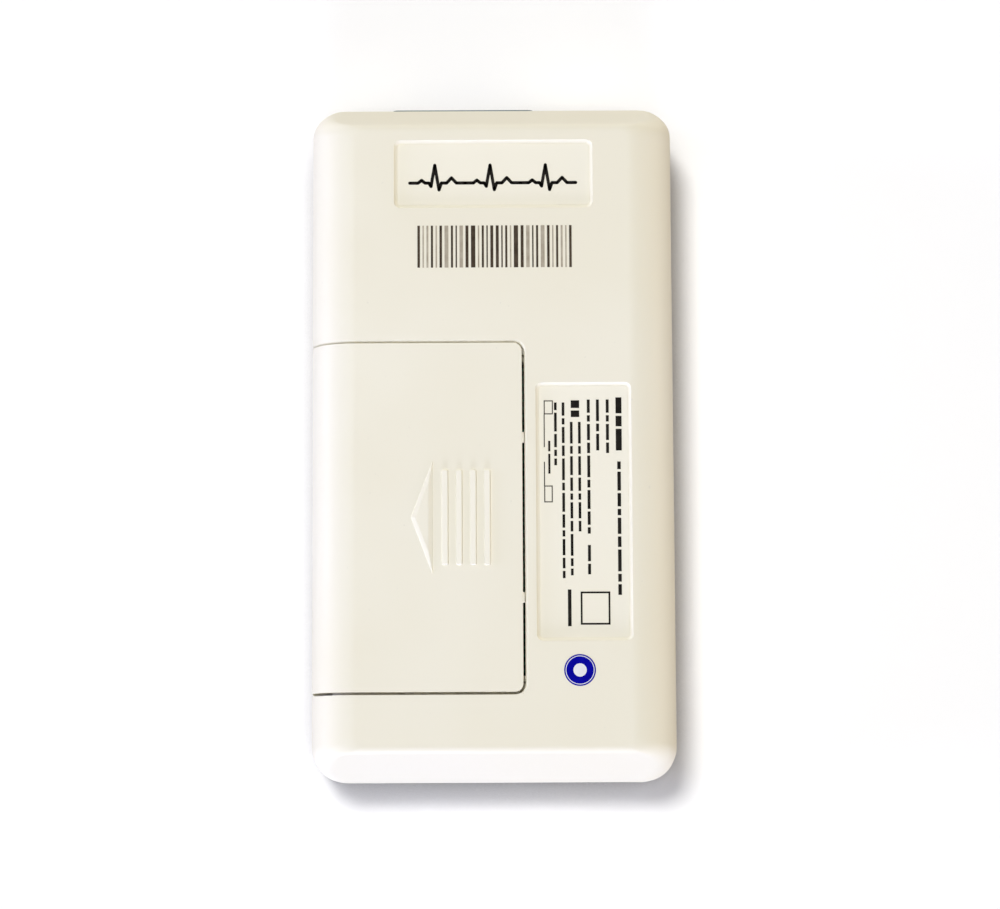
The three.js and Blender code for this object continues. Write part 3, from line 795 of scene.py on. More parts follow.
@dataclass(frozen=True)
class Screen(Finish):
    """A monochrome liquid crystal under glass."""

    line: Colour = (0.2, 0.25, 0.2)
    glass: float = 0.6

    def wire(self, sheet: MaterialSheet) -> None:
        """Wires the dot matrix.

        Args:
            sheet: The material's sheet.
        """
        sheet.feed("Coat Weight", self.glass)
        dots = sheet.bricks(2400.0, 0.03, 0.5, offset=0.0)
        dots.node.inputs["Row Height"].default_value = 0.5
        sheet.tinted(dots, self.colour, self.line)


IVORY = Moulded("ivory_case", (0.878, 0.845, 0.72), 0.5, (0.868, 0.828, 0.685), specular=0.3)
IVORY_FILM = Moulded(
    "ivory_film", (0.905, 0.873, 0.755), 0.42, (0.897, 0.86, 0.725), 5200.0, 0.05, 0.03, 0.3
)
KEY_GREY = Moulded("key_grey", (0.28, 0.35, 0.39), 0.45, (0.26, 0.33, 0.37))
KEY_BLUE = Moulded("key_blue", (0.03, 0.16, 0.43), 0.4, (0.027, 0.14, 0.38))
SOCKET_BLACK = Moulded("socket_black", (0.035, 0.042, 0.05), 0.5, (0.028, 0.033, 0.04), 1800.0, 0.3)
SOCKET_GREEN = Moulded("socket_green", (0.12, 0.17, 0.17), 0.48, (0.1, 0.145, 0.15), 1800.0, 0.25)
CHIP_BLACK = Moulded("chip_black", (0.02, 0.02, 0.022), 0.55, (0.026, 0.026, 0.028), 3600.0, 0.4)
COIL_GREY = Moulded("coil_grey", (0.09, 0.09, 0.095), 0.6, (0.07, 0.07, 0.075), 1500.0, 0.5)
SLEEVE_SLATE = Moulded("sleeve_slate", (0.045, 0.07, 0.095), 0.3, (0.04, 0.062, 0.085), 900.0, 0.04)
SLEEVE_BAND = Moulded("sleeve_band", (0.56, 0.33, 0.12), 0.28, (0.52, 0.3, 0.1), 900.0, 0.04)
SEAL_RING = Moulded("seal_ring", (0.62, 0.6, 0.55), 0.5, (0.58, 0.56, 0.5))
RIBBON_AMBER = Moulded("ribbon_amber", (0.45, 0.2, 0.035), 0.35, (0.4, 0.17, 0.03), 1200.0, 0.1)
CELL_STEEL = Metal("cell_steel", (0.66, 0.65, 0.63), 0.24, (0.55, 0.54, 0.51), 700.0)
NICKEL = Metal("nickel_plate", (0.71, 0.68, 0.62), 0.26, (0.56, 0.53, 0.46))
GOLD = Metal("gold_plate", (0.83, 0.58, 0.2), 0.24, (0.7, 0.46, 0.15))
SCREW_STEEL = Metal("screw_steel", (0.5, 0.5, 0.51), 0.32, (0.36, 0.36, 0.37))
BLACK_INK = Ink("black_ink", (0.01, 0.009, 0.008), 0.5, thin=(0.022, 0.019, 0.016))
BROWN_INK = Ink("brown_ink", (0.05, 0.036, 0.024), 0.5, thin=(0.085, 0.064, 0.045))
TAN_INK = Ink("tan_ink", (0.4, 0.35, 0.27), 0.5, thin=(0.5, 0.45, 0.36))
BLUE_INK = Ink("blue_ink", (0.0, 0.0, 0.3), 0.5, thin=(0.002, 0.002, 0.35))
WHITE_INK = Ink("white_ink", (0.85, 0.86, 0.88), 0.45, thin=(0.8, 0.81, 0.83))
BOARD_GREEN = CircuitBoard("board_green", (0.012, 0.105, 0.045), 0.42)
FOAM_BLACK = Foam("foam_black", (0.035, 0.035, 0.035), 0.9)
CLEAR_WINDOW = Window("clear_window", (0.9, 0.92, 0.92), 0.06)
SCREEN_GREEN = Screen("screen_green", (0.32, 0.38, 0.31), 0.3)


def dress(piece: Piece, finish: Finish) -> Piece:
    """Gives a whole piece one finish.

    Args:
        piece: The piece.
        finish: The finish.

    Returns:
        The same piece.
    """
    piece.data.materials.clear()
    piece.data.materials.append(finish.material())
    return piece


def dress_where(piece: Piece, finish: Finish, test: Callable[[Vector, Vector], bool]) -> Piece:
    """Gives a second finish to the faces that pass a test.

    Args:
        piece: The piece.
        finish: The finish to add.
        test: Takes a face's middle in mm and its normal.

    Returns:
        The same piece.
    """
    piece.data.materials.append(finish.material())
    last = len(piece.data.materials) - 1
    for face in piece.data.polygons:
        if test(face.center / MM, face.normal):
            face.material_index = last
    return piece


# Sizes that several sub-assemblies share


@dataclass
class CaseForm:
    """The outer form of the case, with rounded flanks, sloped ends and a softened ridge."""

    width: float = 52.0
    length: float = 98.0
    thickness: float = 21.0
    parting: float = 9.0
    wall: float = 1.6
    flank_round: float = 6.5
    corner_radius: float = 4.5
    back_corner_radius: float = 1.4
    least_radius: float = 0.4
    slope_inset: float = 4.1
    slope_depth: float = 8.6
    front_round: float = 2.2
    ridge_round: float = 1.2
    knee_round: float = 4.0
    least_round: float = 0.2
    parting_chamfer: float = 0.14
    front_corner_share: float = 0.4
    flank_tolerance: float = 0.1
    back_tolerance: float = 0.05
    corner_steps: int = 9
    flank_steps: int = 16
    front_steps: int = 7
    knee_levels: tuple[float, ...] = (-1.2, -0.7, -0.2, 0.3, 0.9)

    def end_at(self, height: float, inset: float) -> float:
        """Half length of the back half at a height, with its two creases rounded.

        Args:
            height: The height.
            inset: How far the form is drawn in.

        Returns:
            The half length.
        """
        half = self.length / 2 - inset
        top = self.thickness - inset
        lean = math.atan2(self.slope_inset, self.slope_depth)
        shift = inset / math.cos(lean) - inset * (1 + math.tan(lean))
        knee = self.thickness - self.slope_depth - shift / math.tan(lean) - inset
        knee = min(knee, top - 1)
        knee_radius = max(self.knee_round - inset, self.least_round)
        reach = knee_radius * math.tan(lean / 2)
        if height <= knee - reach:
            return half
        if height <= knee + reach * math.cos(lean):
            rise = height - (knee - reach)
            return half - knee_radius + math.sqrt(knee_radius**2 - rise**2)
        ridge_y = half - (top - knee) * math.tan(lean)
        ridge_radius = max(self.ridge_round - inset, self.least_round)
        back = ridge_radius * math.tan((math.pi / 2 - lean) / 2)
        if height <= top - back * math.cos(lean):
            return ridge_y + (top - height) * math.tan(lean)
        rise = height - (top - ridge_radius)
        return ridge_y - back + math.sqrt(max(ridge_radius**2 - rise**2, 0))

    def on_skin(self, place: Vector) -> bool:
        """Whether a place lies on the back or on the rounding of its left flank.

        Args:
            place: The place.

        Returns:
            True on the skin.
        """
        centre_x = self.flank_round - self.width / 2
        centre_z = self.thickness - self.flank_round
        if place.x < centre_x and place.z > centre_z:
            away = math.hypot(place.x - centre_x, place.z - centre_z)
            return away > self.flank_round - self.flank_tolerance
        return place.z > self.thickness - self.back_tolerance

    def loft(self, name: str, levels: Sequence[Sequence[float]]) -> Piece:
        """Bridges the edges of rounded rectangles into a closed form.

        Args:
            name: The piece's name.
            levels: Half width, half length, corner radius and height of each, lowest first.

        Returns:
            The closed form.
        """
        rings = []
        for half_x, half_y, radius, height in levels:
            ring = outline(2 * half_x, 2 * half_y, radius, self.corner_steps)
            with shaping(ring):
                bpy.ops.mesh.delete(type="ONLY_FACE")
            ring.location.z = height * MM
            rings.append(ring)
        piece = joined(name, rings)
        with shaping(piece):
            bpy.ops.mesh.bridge_edge_loops()
            bpy.ops.mesh.select_all(action="DESELECT")
            bpy.ops.mesh.select_non_manifold()
            bpy.ops.mesh.edge_face_add()
            face_outwards()
        return piece

    def back(self, name: str, inset: float, lowest: float, chamfer: float = 0.0) -> Piece:
        """The back half's form.

        Args:
            name: The piece's name.
            inset: How far it is drawn in.
            lowest: Its lowest height.
            chamfer: A small bevel round its lowest edge.

        Returns:
            The form.
        """
        inner = self.flank_round - inset
        springing = self.thickness - self.flank_round
        knee = self.thickness - self.slope_depth
        heights = [lowest, *(knee + level for level in self.knee_levels)]
        if chamfer:
            heights.insert(1, lowest + chamfer)
        for step in range(self.flank_steps, -1, -1):
            heights.append(springing + inner * math.cos(step / self.flank_steps * math.pi / 2))
        levels = []
        for height in heights:
            rise = max(height - springing, 0)
            half_x = self.width / 2 - self.flank_round
            half_x += math.sqrt(max(inner**2 - rise**2, 0))
            half_y = self.end_at(height, inset)
            share = min(max((self.thickness - height) / self.slope_depth, 0), 1)
            radius = self.back_corner_radius
            radius += (self.corner_radius - self.back_corner_radius) * share
            trim = chamfer if height == lowest else 0
            radius = max(radius - inset - trim, self.least_radius)
            levels.append((half_x - trim, half_y - trim, radius, height))
        return self.loft(name, levels)

    def front(self, name: str, inset: float, highest: float, chamfer: float = 0.0) -> Piece:
        """The front half's form.

        Args:
            name: The piece's name.
            inset: How far it is drawn in.
            highest: Its highest height.
            chamfer: A small bevel round its highest edge.

        Returns:
            The form.
        """
        inner = max(self.front_round - inset, self.least_round)
        insets = []
        for step in range(self.front_steps + 1):
            angle = step / self.front_steps * math.pi / 2
            drawn = inset + inner * (1 - math.sin(angle))
            insets.append((drawn, inset + inner * (1 - math.cos(angle))))
        if chamfer:
            insets.append((inset, highest - chamfer))
        insets.append((inset + chamfer, highest))
        levels = []
        for drawn, height in insets:
            radius = self.corner_radius - inset - (drawn - inset) * self.front_corner_share
            radius = max(radius, self.least_radius)
            levels.append((self.width / 2 - drawn, self.length / 2 - drawn, radius, height))
        return self.loft(name, levels)


@dataclass
class DoorPlan:
    """The battery door's outline, which its opening and its runners share."""

    centre_y: float = -11.8
    length: float = 50.2
    edge_x: float = 4.47
    corner_radius: float = 1.5
    rail_top: float = 11.3
    outside_x: float = -40.0
    outside_z: float = 30.0

    def prism(self, gap_side: float, gap_low: float, gap_high: float, low: float) -> Piece:
        """A tall block with the door's outline, running out past the flank.

        Args:
            gap_side: How far its long edge is drawn in.
            gap_low: How far its lower end is drawn in.
            gap_high: How far its upper end is drawn in.
            low: Its lowest height.

        Returns:
            The block.
        """
        left, right = self.outside_x, self.edge_x - gap_side
        bottom = self.centre_y - self.length / 2 + gap_low
        top = self.centre_y + self.length / 2 - gap_high
        centre = ((left + right) / 2, (bottom + top) / 2)
        size = (right - left, top - bottom)
        corner = self.corner_radius - gap_side
        return plate("door_prism", centre, size, corner, low, self.outside_z)

    def rim_distance(self, place: Vector) -> float:
        """How far a place lies from the opening's outline.

        Args:
            place: The place.

        Returns:
            The distance.
        """
        past_x = place.x - (self.edge_x - self.corner_radius)
        past_y = abs(place.y - self.centre_y) - (self.length / 2 - self.corner_radius)
        if past_x > 0 and past_y > 0:
            return abs(math.hypot(past_x, past_y) - self.corner_radius)
        return abs(max(past_x, past_y) - self.corner_radius)


@dataclass
class Pocket:
    """A shallow label pocket in the back, with the film that lies in it."""

    x: float
    y: float
    width: float
    length: float
    radius: float = 1.0
    floor: float = 20.5
    fillet: float = 0.85
    fillet_steps: int = 8
    shoulder: float = 0.16
    shoulder_steps: int = 4
    film: float = 0.08
    film_sunk: float = 0.06
    film_round: float = 0.03
    gap: float = 0.62
    label_corner: float = 0.45

    def film_top(self) -> float:
        """The height of the film's face, in mm."""
        return self.floor + self.film

    def cutter(self, top: float) -> Piece:
        """The solid that cuts the pocket.

        Args:
            top: The height that it reaches past.

        Returns:
            The cutting solid.
        """
        size = (self.width, self.length)
        cutter = plate("pocket", (self.x, self.y), size, self.radius, self.floor, top + 1)
        with shaping(cutter):
            pick(cutter, Part.EDGES, lambda place, normals: abs(place.z - self.floor) < NEAR)
            bevel(self.fillet, self.fillet_steps)
        return cutter

    def label(self, name: str) -> Piece:
        """The label film that lies on the pocket's floor.

        Args:
            name: The film's name.

        Returns:
            The film.
        """
        size = (self.width - 2 * self.gap, self.length - 2 * self.gap)
        low = self.floor - self.film_sunk
        piece = plate(name, (self.x, self.y), size, self.label_corner, low, self.film_top())
        return smoothed(soften(piece, self.film_round, 2))

    def on_rim(self, place: Vector, normals: list[Vector]) -> bool:
        """Whether an edge lies on the pocket's outline in the back.

        Args:
            place: The edge's middle.
            normals: The normals of its faces.

        Returns:
            True on the outline.
        """
        if abs(place.z - FORM.thickness) > NEAR:
            return False
        past_x = abs(place.x - self.x) - self.width / 2
        past_y = abs(place.y - self.y) - self.length / 2
        if past_x > -self.radius and past_y > -self.radius:
            away = math.hypot(past_x + self.radius, past_y + self.radius) - self.radius
            return abs(away) < NEAR
        return abs(max(past_x, past_y)) < NEAR


FORM = CaseForm()
DOOR_PLAN = DoorPlan()
NAME_POCKET = Pocket(0.2, 37.75, 28.7, 10.1)
RATING_POCKET = Pocket(12.9, -10.95, 13.8, 37.0)
CASE_SCREWS = ((-10.3, 35.3), (10.7, 35.3), (12.75, -25.45))


# Sub-assemblies


@dataclass
class Assembly:
    """A sub-assembly, which knows how to keep and report its pieces."""

    pieces: list[Piece] = field(default_factory=list, init=False)

    def keep(self, piece: Piece, slot: str, *nodes: str, body: str = "case") -> None:
        """Fixes a piece to its body and hides the CAD nodes that it stands for.

        Args:
            piece: The finished piece.
            slot: The material slot that it takes its finish from. Not used.
            nodes: The CAD nodes that it stands for.
            body: The body that it rides.
        """
        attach(piece, body)
        if nodes:
            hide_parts(*nodes)
        self.pieces.append(piece)

    def build(self) -> None:
        """Builds and dresses the pieces."""
        raise NotImplementedError

    def report(self) -> None:
        """Logs each piece with its size."""
        owner = type(self).__name__
        for piece in self.pieces:
            size = ", ".join(f"{part / MM:.1f}" for part in piece.dimensions)
            faces = len(piece.data.polygons)
            log.info("%s: %s, %s mm, %d faces", owner, piece.name, size, faces)


@dataclass
class BatteryBay:
    """The tub under the door, with its end walls, ledge and runner shelves."""

    left: float = -22.05
    right: float = 0.85
    floor_low: float = 7.15
    floor_high: float = 8.25
    half_length: float = 24.4
    end_wall: float = 2.0
    outer_wall: float = 0.9
    side_wall: float = 1.2
    side_half_length: float = 22.1
    side_top: float = 18.8
    shelf_left: float = -19.5
    shelf_top: float = 19.1
    shelf_thickness: float = 0.9
    runner_lip: float = 0.9
    end_right: float = 6.65
    ridge_x: float = -10.6
    ridge_half_width: float = 0.5
    ridge_half_length: float = 18.0
    ridge_rise: float = 2.2
    ledge_left: float = -25.2
    ledge_low: float = 10.5
    trim: float = 0.3

    @staticmethod
    def span(end: int, near: float, far: float) -> tuple[float, float]:
        """A range on Y outwards from the door's middle."""
        first, second = DOOR_PLAN.centre_y + end * near, DOOR_PLAN.centre_y + end * far
        return min(first, second), max(first, second)

    def walls(self) -> Piece:
        """Builds the tub and trims it to the inside of the case.

        Returns:
            The tub, ready to be added to the shell.
        """
        far = self.half_length + self.end_wall
        bottom, top = self.span(1, -far, far)
        outer, inner = self.left - self.outer_wall, self.right + self.side_wall
        low, ledge_top = self.floor_low, DOOR_PLAN.rail_top
        tub = block("tub", (outer, bottom, low), (inner, top, self.floor_high))
        side_low, side_high = self.span(1, -self.side_half_length, self.side_half_length)
        ridge_low, ridge_high = self.span(1, -self.ridge_half_length, self.ridge_half_length)
        ridge_left = self.ridge_x - self.ridge_half_width
        ridge_right = self.ridge_x + self.ridge_half_width
        ridge_top = self.floor_high + self.ridge_rise
        parts = [
            block("wall", (outer, bottom, low), (self.left, top, ledge_top)),
            block("wall", (self.right, side_low, low), (inner, side_high, self.side_top)),
            block("ridge", (ridge_left, ridge_low, low), (ridge_right, ridge_high, ridge_top)),
        ]
        shelf_low = self.shelf_top - self.shelf_thickness
        for end in (-1, 1):
            near, distant = self.span(end, self.half_length, far)
            corner = (self.end_right, distant, self.shelf_top)
            parts.append(block("end", (outer, near, low), corner))
            near, distant = self.span(end, self.half_length - self.runner_lip, far)
            corner = (self.end_right, distant, self.shelf_top)
            parts.append(block("shelf", (self.shelf_left, near, shelf_low), corner))
        for part in parts:
            combine(tub, part, Join.ADD)
        combine(tub, FORM.back("trim", FORM.wall + self.trim, low - 1), Join.SHARE)
        combine(tub, self.joins(outer, far), Join.ADD)
        corner = (self.left, top, ledge_top)
        ledge = block("ledge", (self.ledge_left, bottom, self.ledge_low), corner)
        return combine(tub, ledge, Join.ADD)

    def joins(self, outer: float, far: float) -> Piece:
        """Builds what carries the tub's two ends over to the shell.

        Args:
            outer: Where they begin on X.
            far: Where they end, from the door's middle.

        Returns:
            Both joins as one piece.
        """
        form = FORM.back("join_form", FORM.wall / 2, self.floor_low - 1)
        both = []
        for end in (-1, 1):
            near, distant = self.span(end, DOOR_PLAN.length / 2, far)
            corner = (self.end_right, distant, FORM.thickness)
            both.append(block("join", (outer, near, self.floor_low), corner))
        combine(both[0], both[1], Join.ADD)
        return combine(both[0], form, Join.SHARE)


@dataclass
class RearCase(Assembly):
    """The back half of the case, with its pockets, door opening and battery bay."""

    opening_round: float = 0.42
    sharp_end: float = 0.3
    post_radius: float = 2.4
    post_top: float = 19.8
    counterbore_radius: float = 1.8
    counterbore_floor: float = 17.5
    bore_radius: float = 1.3
    bore_top: float = 19.0
    bay: BatteryBay = field(default_factory=BatteryBay)

    def build(self) -> None:
        """Builds the shell."""
        parting = FORM.parting
        shell = FORM.back("rear_case", 0, parting, FORM.parting_chamfer)
        combine(shell, FORM.back("hollow", FORM.wall, parting - 1), Join.CUT)
        combine(shell, DOOR_PLAN.prism(0, 0, 0, DOOR_PLAN.rail_top), Join.CUT)
        combine(shell, self.bay.walls(), Join.ADD)
        for place in CASE_SCREWS:
            combine(shell, post("post", place, self.post_radius, parting, self.post_top), Join.ADD)
        for pocket in (NAME_POCKET, RATING_POCKET):
            combine(shell, pocket.cutter(FORM.thickness), Join.CUT)
        above, below = self.counterbore_floor + 5, parting - 2
        for place in CASE_SCREWS:
            head = post("head", place, self.counterbore_radius, self.counterbore_floor, above)
            combine(shell, head, Join.CUT)
            combine(shell, post("bore", place, self.bore_radius, below, self.bore_top), Join.CUT)
        combine(shell, connector_opening(), Join.CUT)
        for pocket in (NAME_POCKET, RATING_POCKET):
            round_edges(shell, pocket.shoulder, pocket.shoulder_steps, pocket.on_rim)
        round_edges(shell, self.opening_round, 4, self.on_opening_rim)
        self.keep(dress(smoothed(shell), IVORY), "shell_plastic", "rear_shell")

    def on_opening_rim(self, middle: Vector, normals: list[Vector]) -> bool:
        """Whether an edge lies on the opening's rim, which stays sharp at its lower end."""
        above_end = middle.y > DOOR_PLAN.centre_y - DOOR_PLAN.length / 2 + self.sharp_end
        return above_end and FORM.on_skin(middle) and DOOR_PLAN.rim_distance(middle) < NEAR


def connector_opening(room: float = 0.3, beyond: float = 50.0) -> Piece:
    """The space in both halves of the case that the lead connector passes through.

    Args:
        room: How much wider it is than the connector.
        beyond: Where it ends outside the case, on Y in mm.

    Returns:
        The cutting solid.
    """
    low, high = box_of("lead_connector_housing")
    start = low - Vector((room, room, room))
    hole = block("hole", start, (high.x + room, beyond, high.z + room))
    low, high = box_of("lead_connector_flange")
    start = (low.x - room, low.y, low.z - room)
    return combine(hole, block("recess", start, (high.x + room, beyond, high.z + room)), Join.ADD)


@dataclass
class FrontCase(Assembly):
    """The front half of the case, on which the recorder lies."""

    lip_inset: float = 1.8
    lip_top: float = 10.2
    lip_inner: float = 2.6
    lip_low: float = 7.6
    lip_hollow: float = 1.8
    trim_reach: tuple[float, float] = (30.0, 60.0)
    root_inset: float = 0.8
    boss_radius: float = 2.4
    boss_low: float = 0.8
    bore_radius: float = 1.3
    bore_low: float = 3.2
    bore_high: float = 10.0
    board_screws: tuple[Place, ...] = ((-19.5, -42.0), (19.5, -42.0))
    board_boss_radius: float = 2.2
    board_boss_high: float = 5.2
    board_bore_radius: float = 1.2
    board_bore_low: float = 1.6
    board_bore_high: float = 6.4
    lens_room: float = 0.3
    lens_seat: float = 1.25
    lens_corner: float = 2.0
    window_rim: float = 4.0
    key_room: float = 0.3

    def build(self) -> None:
        """Builds the shell with its window, its key holes and its bosses."""
        shell = FORM.front("front_case", 0, FORM.parting, FORM.parting_chamfer)
        combine(shell, FORM.front("hollow", FORM.wall, FORM.parting + 1), Join.CUT)
        lip = self.frame_ring("lip", self.lip_inset, self.lip_top)
        root = self.frame_ring("root", self.root_inset, FORM.parting)
        combine(root, lip, Join.ADD)
        combine(shell, root, Join.ADD)
        for place in CASE_SCREWS:
            boss = post("boss", place, self.boss_radius, self.boss_low, FORM.parting)
            combine(shell, boss, Join.ADD)
            bore = post("bore", place, self.bore_radius, self.bore_low, self.bore_high)
            combine(shell, bore, Join.CUT)
        for place in self.board_screws:
            low, high = self.boss_low, self.board_boss_high
            combine(shell, post("boss", place, self.board_boss_radius, low, high), Join.ADD)
            low, high = self.board_bore_low, self.board_bore_high
            combine(shell, post("bore", place, self.board_bore_radius, low, high), Join.CUT)
        self.cut_window(shell)
        for key in KEYS:
            combine(shell, key.blank("key_hole", self.key_room, -1, 3), Join.CUT)
        combine(shell, connector_opening(), Join.CUT)
        self.keep(dress(smoothed(shell), IVORY), "shell_plastic", "front_shell")

    def frame_ring(self, name: str, inset: float, top: float) -> Piece:
        """A ring that runs round inside the wall, over the parting line.

        Args:
            name: The piece's name.
            inset: How far its outside is drawn in.
            top: Its top.

        Returns:
            The ring.
        """
        ring = FORM.front(name, inset, top)
        hollow_top = self.lip_top + self.lip_hollow
        combine(ring, FORM.front("ring_hollow", self.lip_inner, hollow_top), Join.CUT)
        reach_x, reach_y = self.trim_reach
        below = block("below", (-reach_x, -reach_y, -5), (reach_x, reach_y, self.lip_low))
        return combine(ring, below, Join.CUT)

    def cut_window(self, shell: Piece) -> None:
        """Cuts the window's rebate and its opening.

        Args:
            shell: The shell that is cut.
        """
        low, high = box_of("display_lens")
        middle = ((low.x + high.x) / 2, (low.y + high.y) / 2)
        width, length = high.x - low.x, high.y - low.y
        size = (width + self.lens_room, length + self.lens_room)
        rebate = plate("rebate", middle, size, self.lens_corner, -1, self.lens_seat)
        combine(shell, rebate, Join.CUT)
        size = (width - self.window_rim, length - self.window_rim)
        combine(shell, plate("window", middle, size, 1, -1, 3), Join.CUT)


@dataclass
class BatteryDoor(Assembly):
    """The sliding door, with its arrow, ribs and runners."""

    gap_side: float = 0.31
    gap_low: float = 0.38
    gap_high: float = 0.07
    flap_bottom: float = 11.6
    rim_round: float = 0.1
    mark_sunk: float = 0.2
    mark_rise: float = 0.33
    rib_x: float = -0.86
    rib_pitch: float = 2.0
    rib_count: int = 4
    rib_width: float = 1.0
    rib_length: float = 13.6
    rib_corner: float = 0.3
    rib_drop: float = 0.06
    rib_lean: float = 9.0
    rib_round: float = 0.22
    arrow_tip_x: float = -11.7
    arrow_base_x: float = -8.6
    arrow_half_length: float = 8.1
    arrow_foot: float = 0.1
    arrow_slope: float = 0.58
    arrow_round: float = 0.1
    tab_away: float = 11.4
    tab_gap: float = 0.05
    tab_width: float = 0.6
    tab_half_length: float = 0.75
    tab_low: float = 20.2
    tab_high: float = 20.93
    tab_round: float = 0.08
    runner_left: float = -18.0
    runner_reach: float = 1.0
    runner_low: float = 16.9
    runner_high: float = 19.7
    web_near: float = 22.4
    web_far: float = 23.2
    hook_far: float = 24.1
    hook_high: float = 17.9
    tongue_high: float = 19.1
    runner_round: float = 0.12

    def build(self) -> None:
        """Builds the door as one moulding."""
        door = FORM.back("battery_door_panel", 0, FORM.parting)
        combine(door, FORM.back("hollow", FORM.wall, FORM.parting - 1), Join.CUT)
        prism = DOOR_PLAN.prism(self.gap_side, self.gap_low, self.gap_high, self.flap_bottom)
        combine(door, prism, Join.SHARE)
        round_edges(door, self.rim_round, 2, self.on_rim)
        smoothed(door)
        parts = [door, *self.marks(), *self.tabs(), self.runner(-1), self.runner(1)]
        panel = joined("battery_door_panel", parts)
        self.keep(dress(panel, IVORY), "shell_plastic", "battery_door", body="door")

    @staticmethod
    def on_rim(middle: Vector, normals: list[Vector]) -> bool:
        """Whether an edge lies where the door's skin meets its cut sides.

        Args:
            middle: The edge's middle.
            normals: The normals of its faces.

        Returns:
            True on the rim.
        """
        if len(normals) != 2:
            return False
        for side, skin in (normals, normals[::-1]):
            is_side = abs(side.z) < 0.01 and side.x > -0.1
            is_skin = skin.z > 0.03 or skin.x < -FACING
            if is_side and is_skin and abs(skin.dot(side)) < 0.3:
                return skin.x < 0.02
        return False

    def marks(self) -> list[Piece]:
        """Builds the raised arrow and the raised ribs.

        Returns:
            The marks.
        """
        base, top = FORM.thickness - self.mark_sunk, FORM.thickness + self.mark_rise
        centre = (self.rib_x, DOOR_PLAN.centre_y)
        crest = top - self.rib_drop
        size = (self.rib_width, self.rib_length)
        rib = plate("rib", centre, size, self.rib_corner, base, crest, 5)
        with shaping(rib):
            pick(rib, Part.FACES, lambda place, normal: normal.z > FACING)
            bpy.ops.transform.rotate(
                value=math.radians(self.rib_lean),
                orient_axis="Y",
                center_override=Vector((*centre, crest)) * MM,
            )
            pick(rib, Part.EDGES, lambda place, normals: place.z > top - 0.2)
            bevel(self.rib_round, 4)
        smoothed(rib, 60)
        shifts = [(-self.rib_pitch * count, 0, 0) for count in range(1, self.rib_count)]
        return [self.arrow(base, top), rib, *(copied(rib, shift) for shift in shifts)]

    def arrow(self, base: float, top: float) -> Piece:
        """The raised arrow head, pointing the way the door slides.

        Args:
            base: Where it starts, sunk in the skin.
            top: Its top.

        Returns:
            The arrow.
        """
        foot = FORM.thickness + self.arrow_foot
        take(None)
        turn = (0, 0, math.pi / 2)
        bpy.ops.mesh.primitive_circle_add(vertices=3, radius=1, fill_type="NGON", rotation=turn)
        piece = settle(bpy.context.object, "arrow")
        scale_x = (self.arrow_base_x - self.arrow_tip_x) / 1.5
        scale_y = self.arrow_half_length / math.sin(math.pi / 3)
        place = Vector((self.arrow_tip_x + scale_x, DOOR_PLAN.centre_y, base)) * MM
        with shaping(piece):
            scale = (scale_x * MM, scale_y * MM, 1)
            bpy.ops.transform.resize(value=scale, center_override=(0, 0, 0))
            bpy.ops.transform.translate(value=place)
            draw_out(0, 0, foot - base)
            face_outwards()
            pick(piece, Part.FACES, lambda place, normal: normal.z > FACING)
            bpy.ops.mesh.inset(thickness=self.arrow_slope * MM, depth=(top - foot) * MM)
            pick(piece, Part.EDGES, lambda place, normals: place.z > foot - 0.01)
            bevel(self.arrow_round, 3)
        return smoothed(piece, 60)

    def tabs(self) -> list[Piece]:
        """Two short tabs that stand in the door's long seam.

        Returns:
            The tabs.
        """
        y, half = DOOR_PLAN.centre_y - self.tab_away, self.tab_half_length
        right = DOOR_PLAN.edge_x - self.tab_gap
        low = (right - self.tab_width, y - half, self.tab_low)
        tab = block("tab", low, (right, y + half, self.tab_high))
        smoothed(soften(tab, self.tab_round))
        return [tab, copied(tab, (0, 2 * self.tab_away, 0))]

    def runner(self, end: int) -> Piece:
        """One runner with its hook, which slides under the bay's shelf.

        Args:
            end: 1 for the upper end and -1 for the lower.

        Returns:
            The runner.
        """
        web = BatteryBay.span(end, self.web_near, self.web_far)
        hook = BatteryBay.span(end, self.web_near, self.hook_far)
        left, low, edge = self.runner_left, self.runner_low, DOOR_PLAN.edge_x
        reach = edge + self.runner_reach
        runner = block("runner", (left, web[0], low), (edge - 0.2, web[1], self.runner_high))
        foot = block("hook", (left, hook[0], low), (reach, hook[1], self.hook_high))
        combine(runner, foot, Join.ADD)
        tongue = block("tongue", (edge - 1, web[0], low), (reach, web[1], self.tongue_high))
        combine(runner, tongue, Join.ADD)
        return smoothed(soften(runner, self.runner_round))


@dataclass
class Key:
    """A push key of the front face."""

    name: str
    width: float
    length: float
    finish: Finish = KEY_GREY
    slot: str = "button_plastic"
    face: float = 0.2
    face_round: float = 0.45
    flange_low: float = 1.9
    flange_high: float = 2.4
    flange_reach: float = 0.8
    flange_round: float = 0.08

    def middle(self) -> tuple[float, float]:
        """Where the key's middle lies on X and Y, in mm."""
        low, high = box_of(f"{self.name}_button")
        return (low.x + high.x) / 2, (low.y + high.y) / 2

    def blank(self, name: str, grow: float, low: float, high: float) -> Piece:
        """The key's outline drawn out, larger by some growth."""
        size = (self.width + 2 * grow, self.length + 2 * grow)
        return plate(name, self.middle(), size, min(size) / 2 - 0.01, low, high, 10)

    def cap(self) -> Piece:
        """Builds the cap with its rounded face and the flange behind it.

        Returns:
            The cap.
        """
        cap = self.blank(f"{self.name}_key", 0, self.face, self.flange_high)
        with shaping(cap):
            pick(cap, Part.EDGES, lambda place, normals: abs(place.z - self.face) < NEAR)
            bevel(self.face_round, 4)
        flange = self.blank("flange", self.flange_reach, self.flange_low, self.flange_high)
        combine(cap, soften(flange, self.flange_round), Join.ADD)
        return dress(smoothed(cap), self.finish)


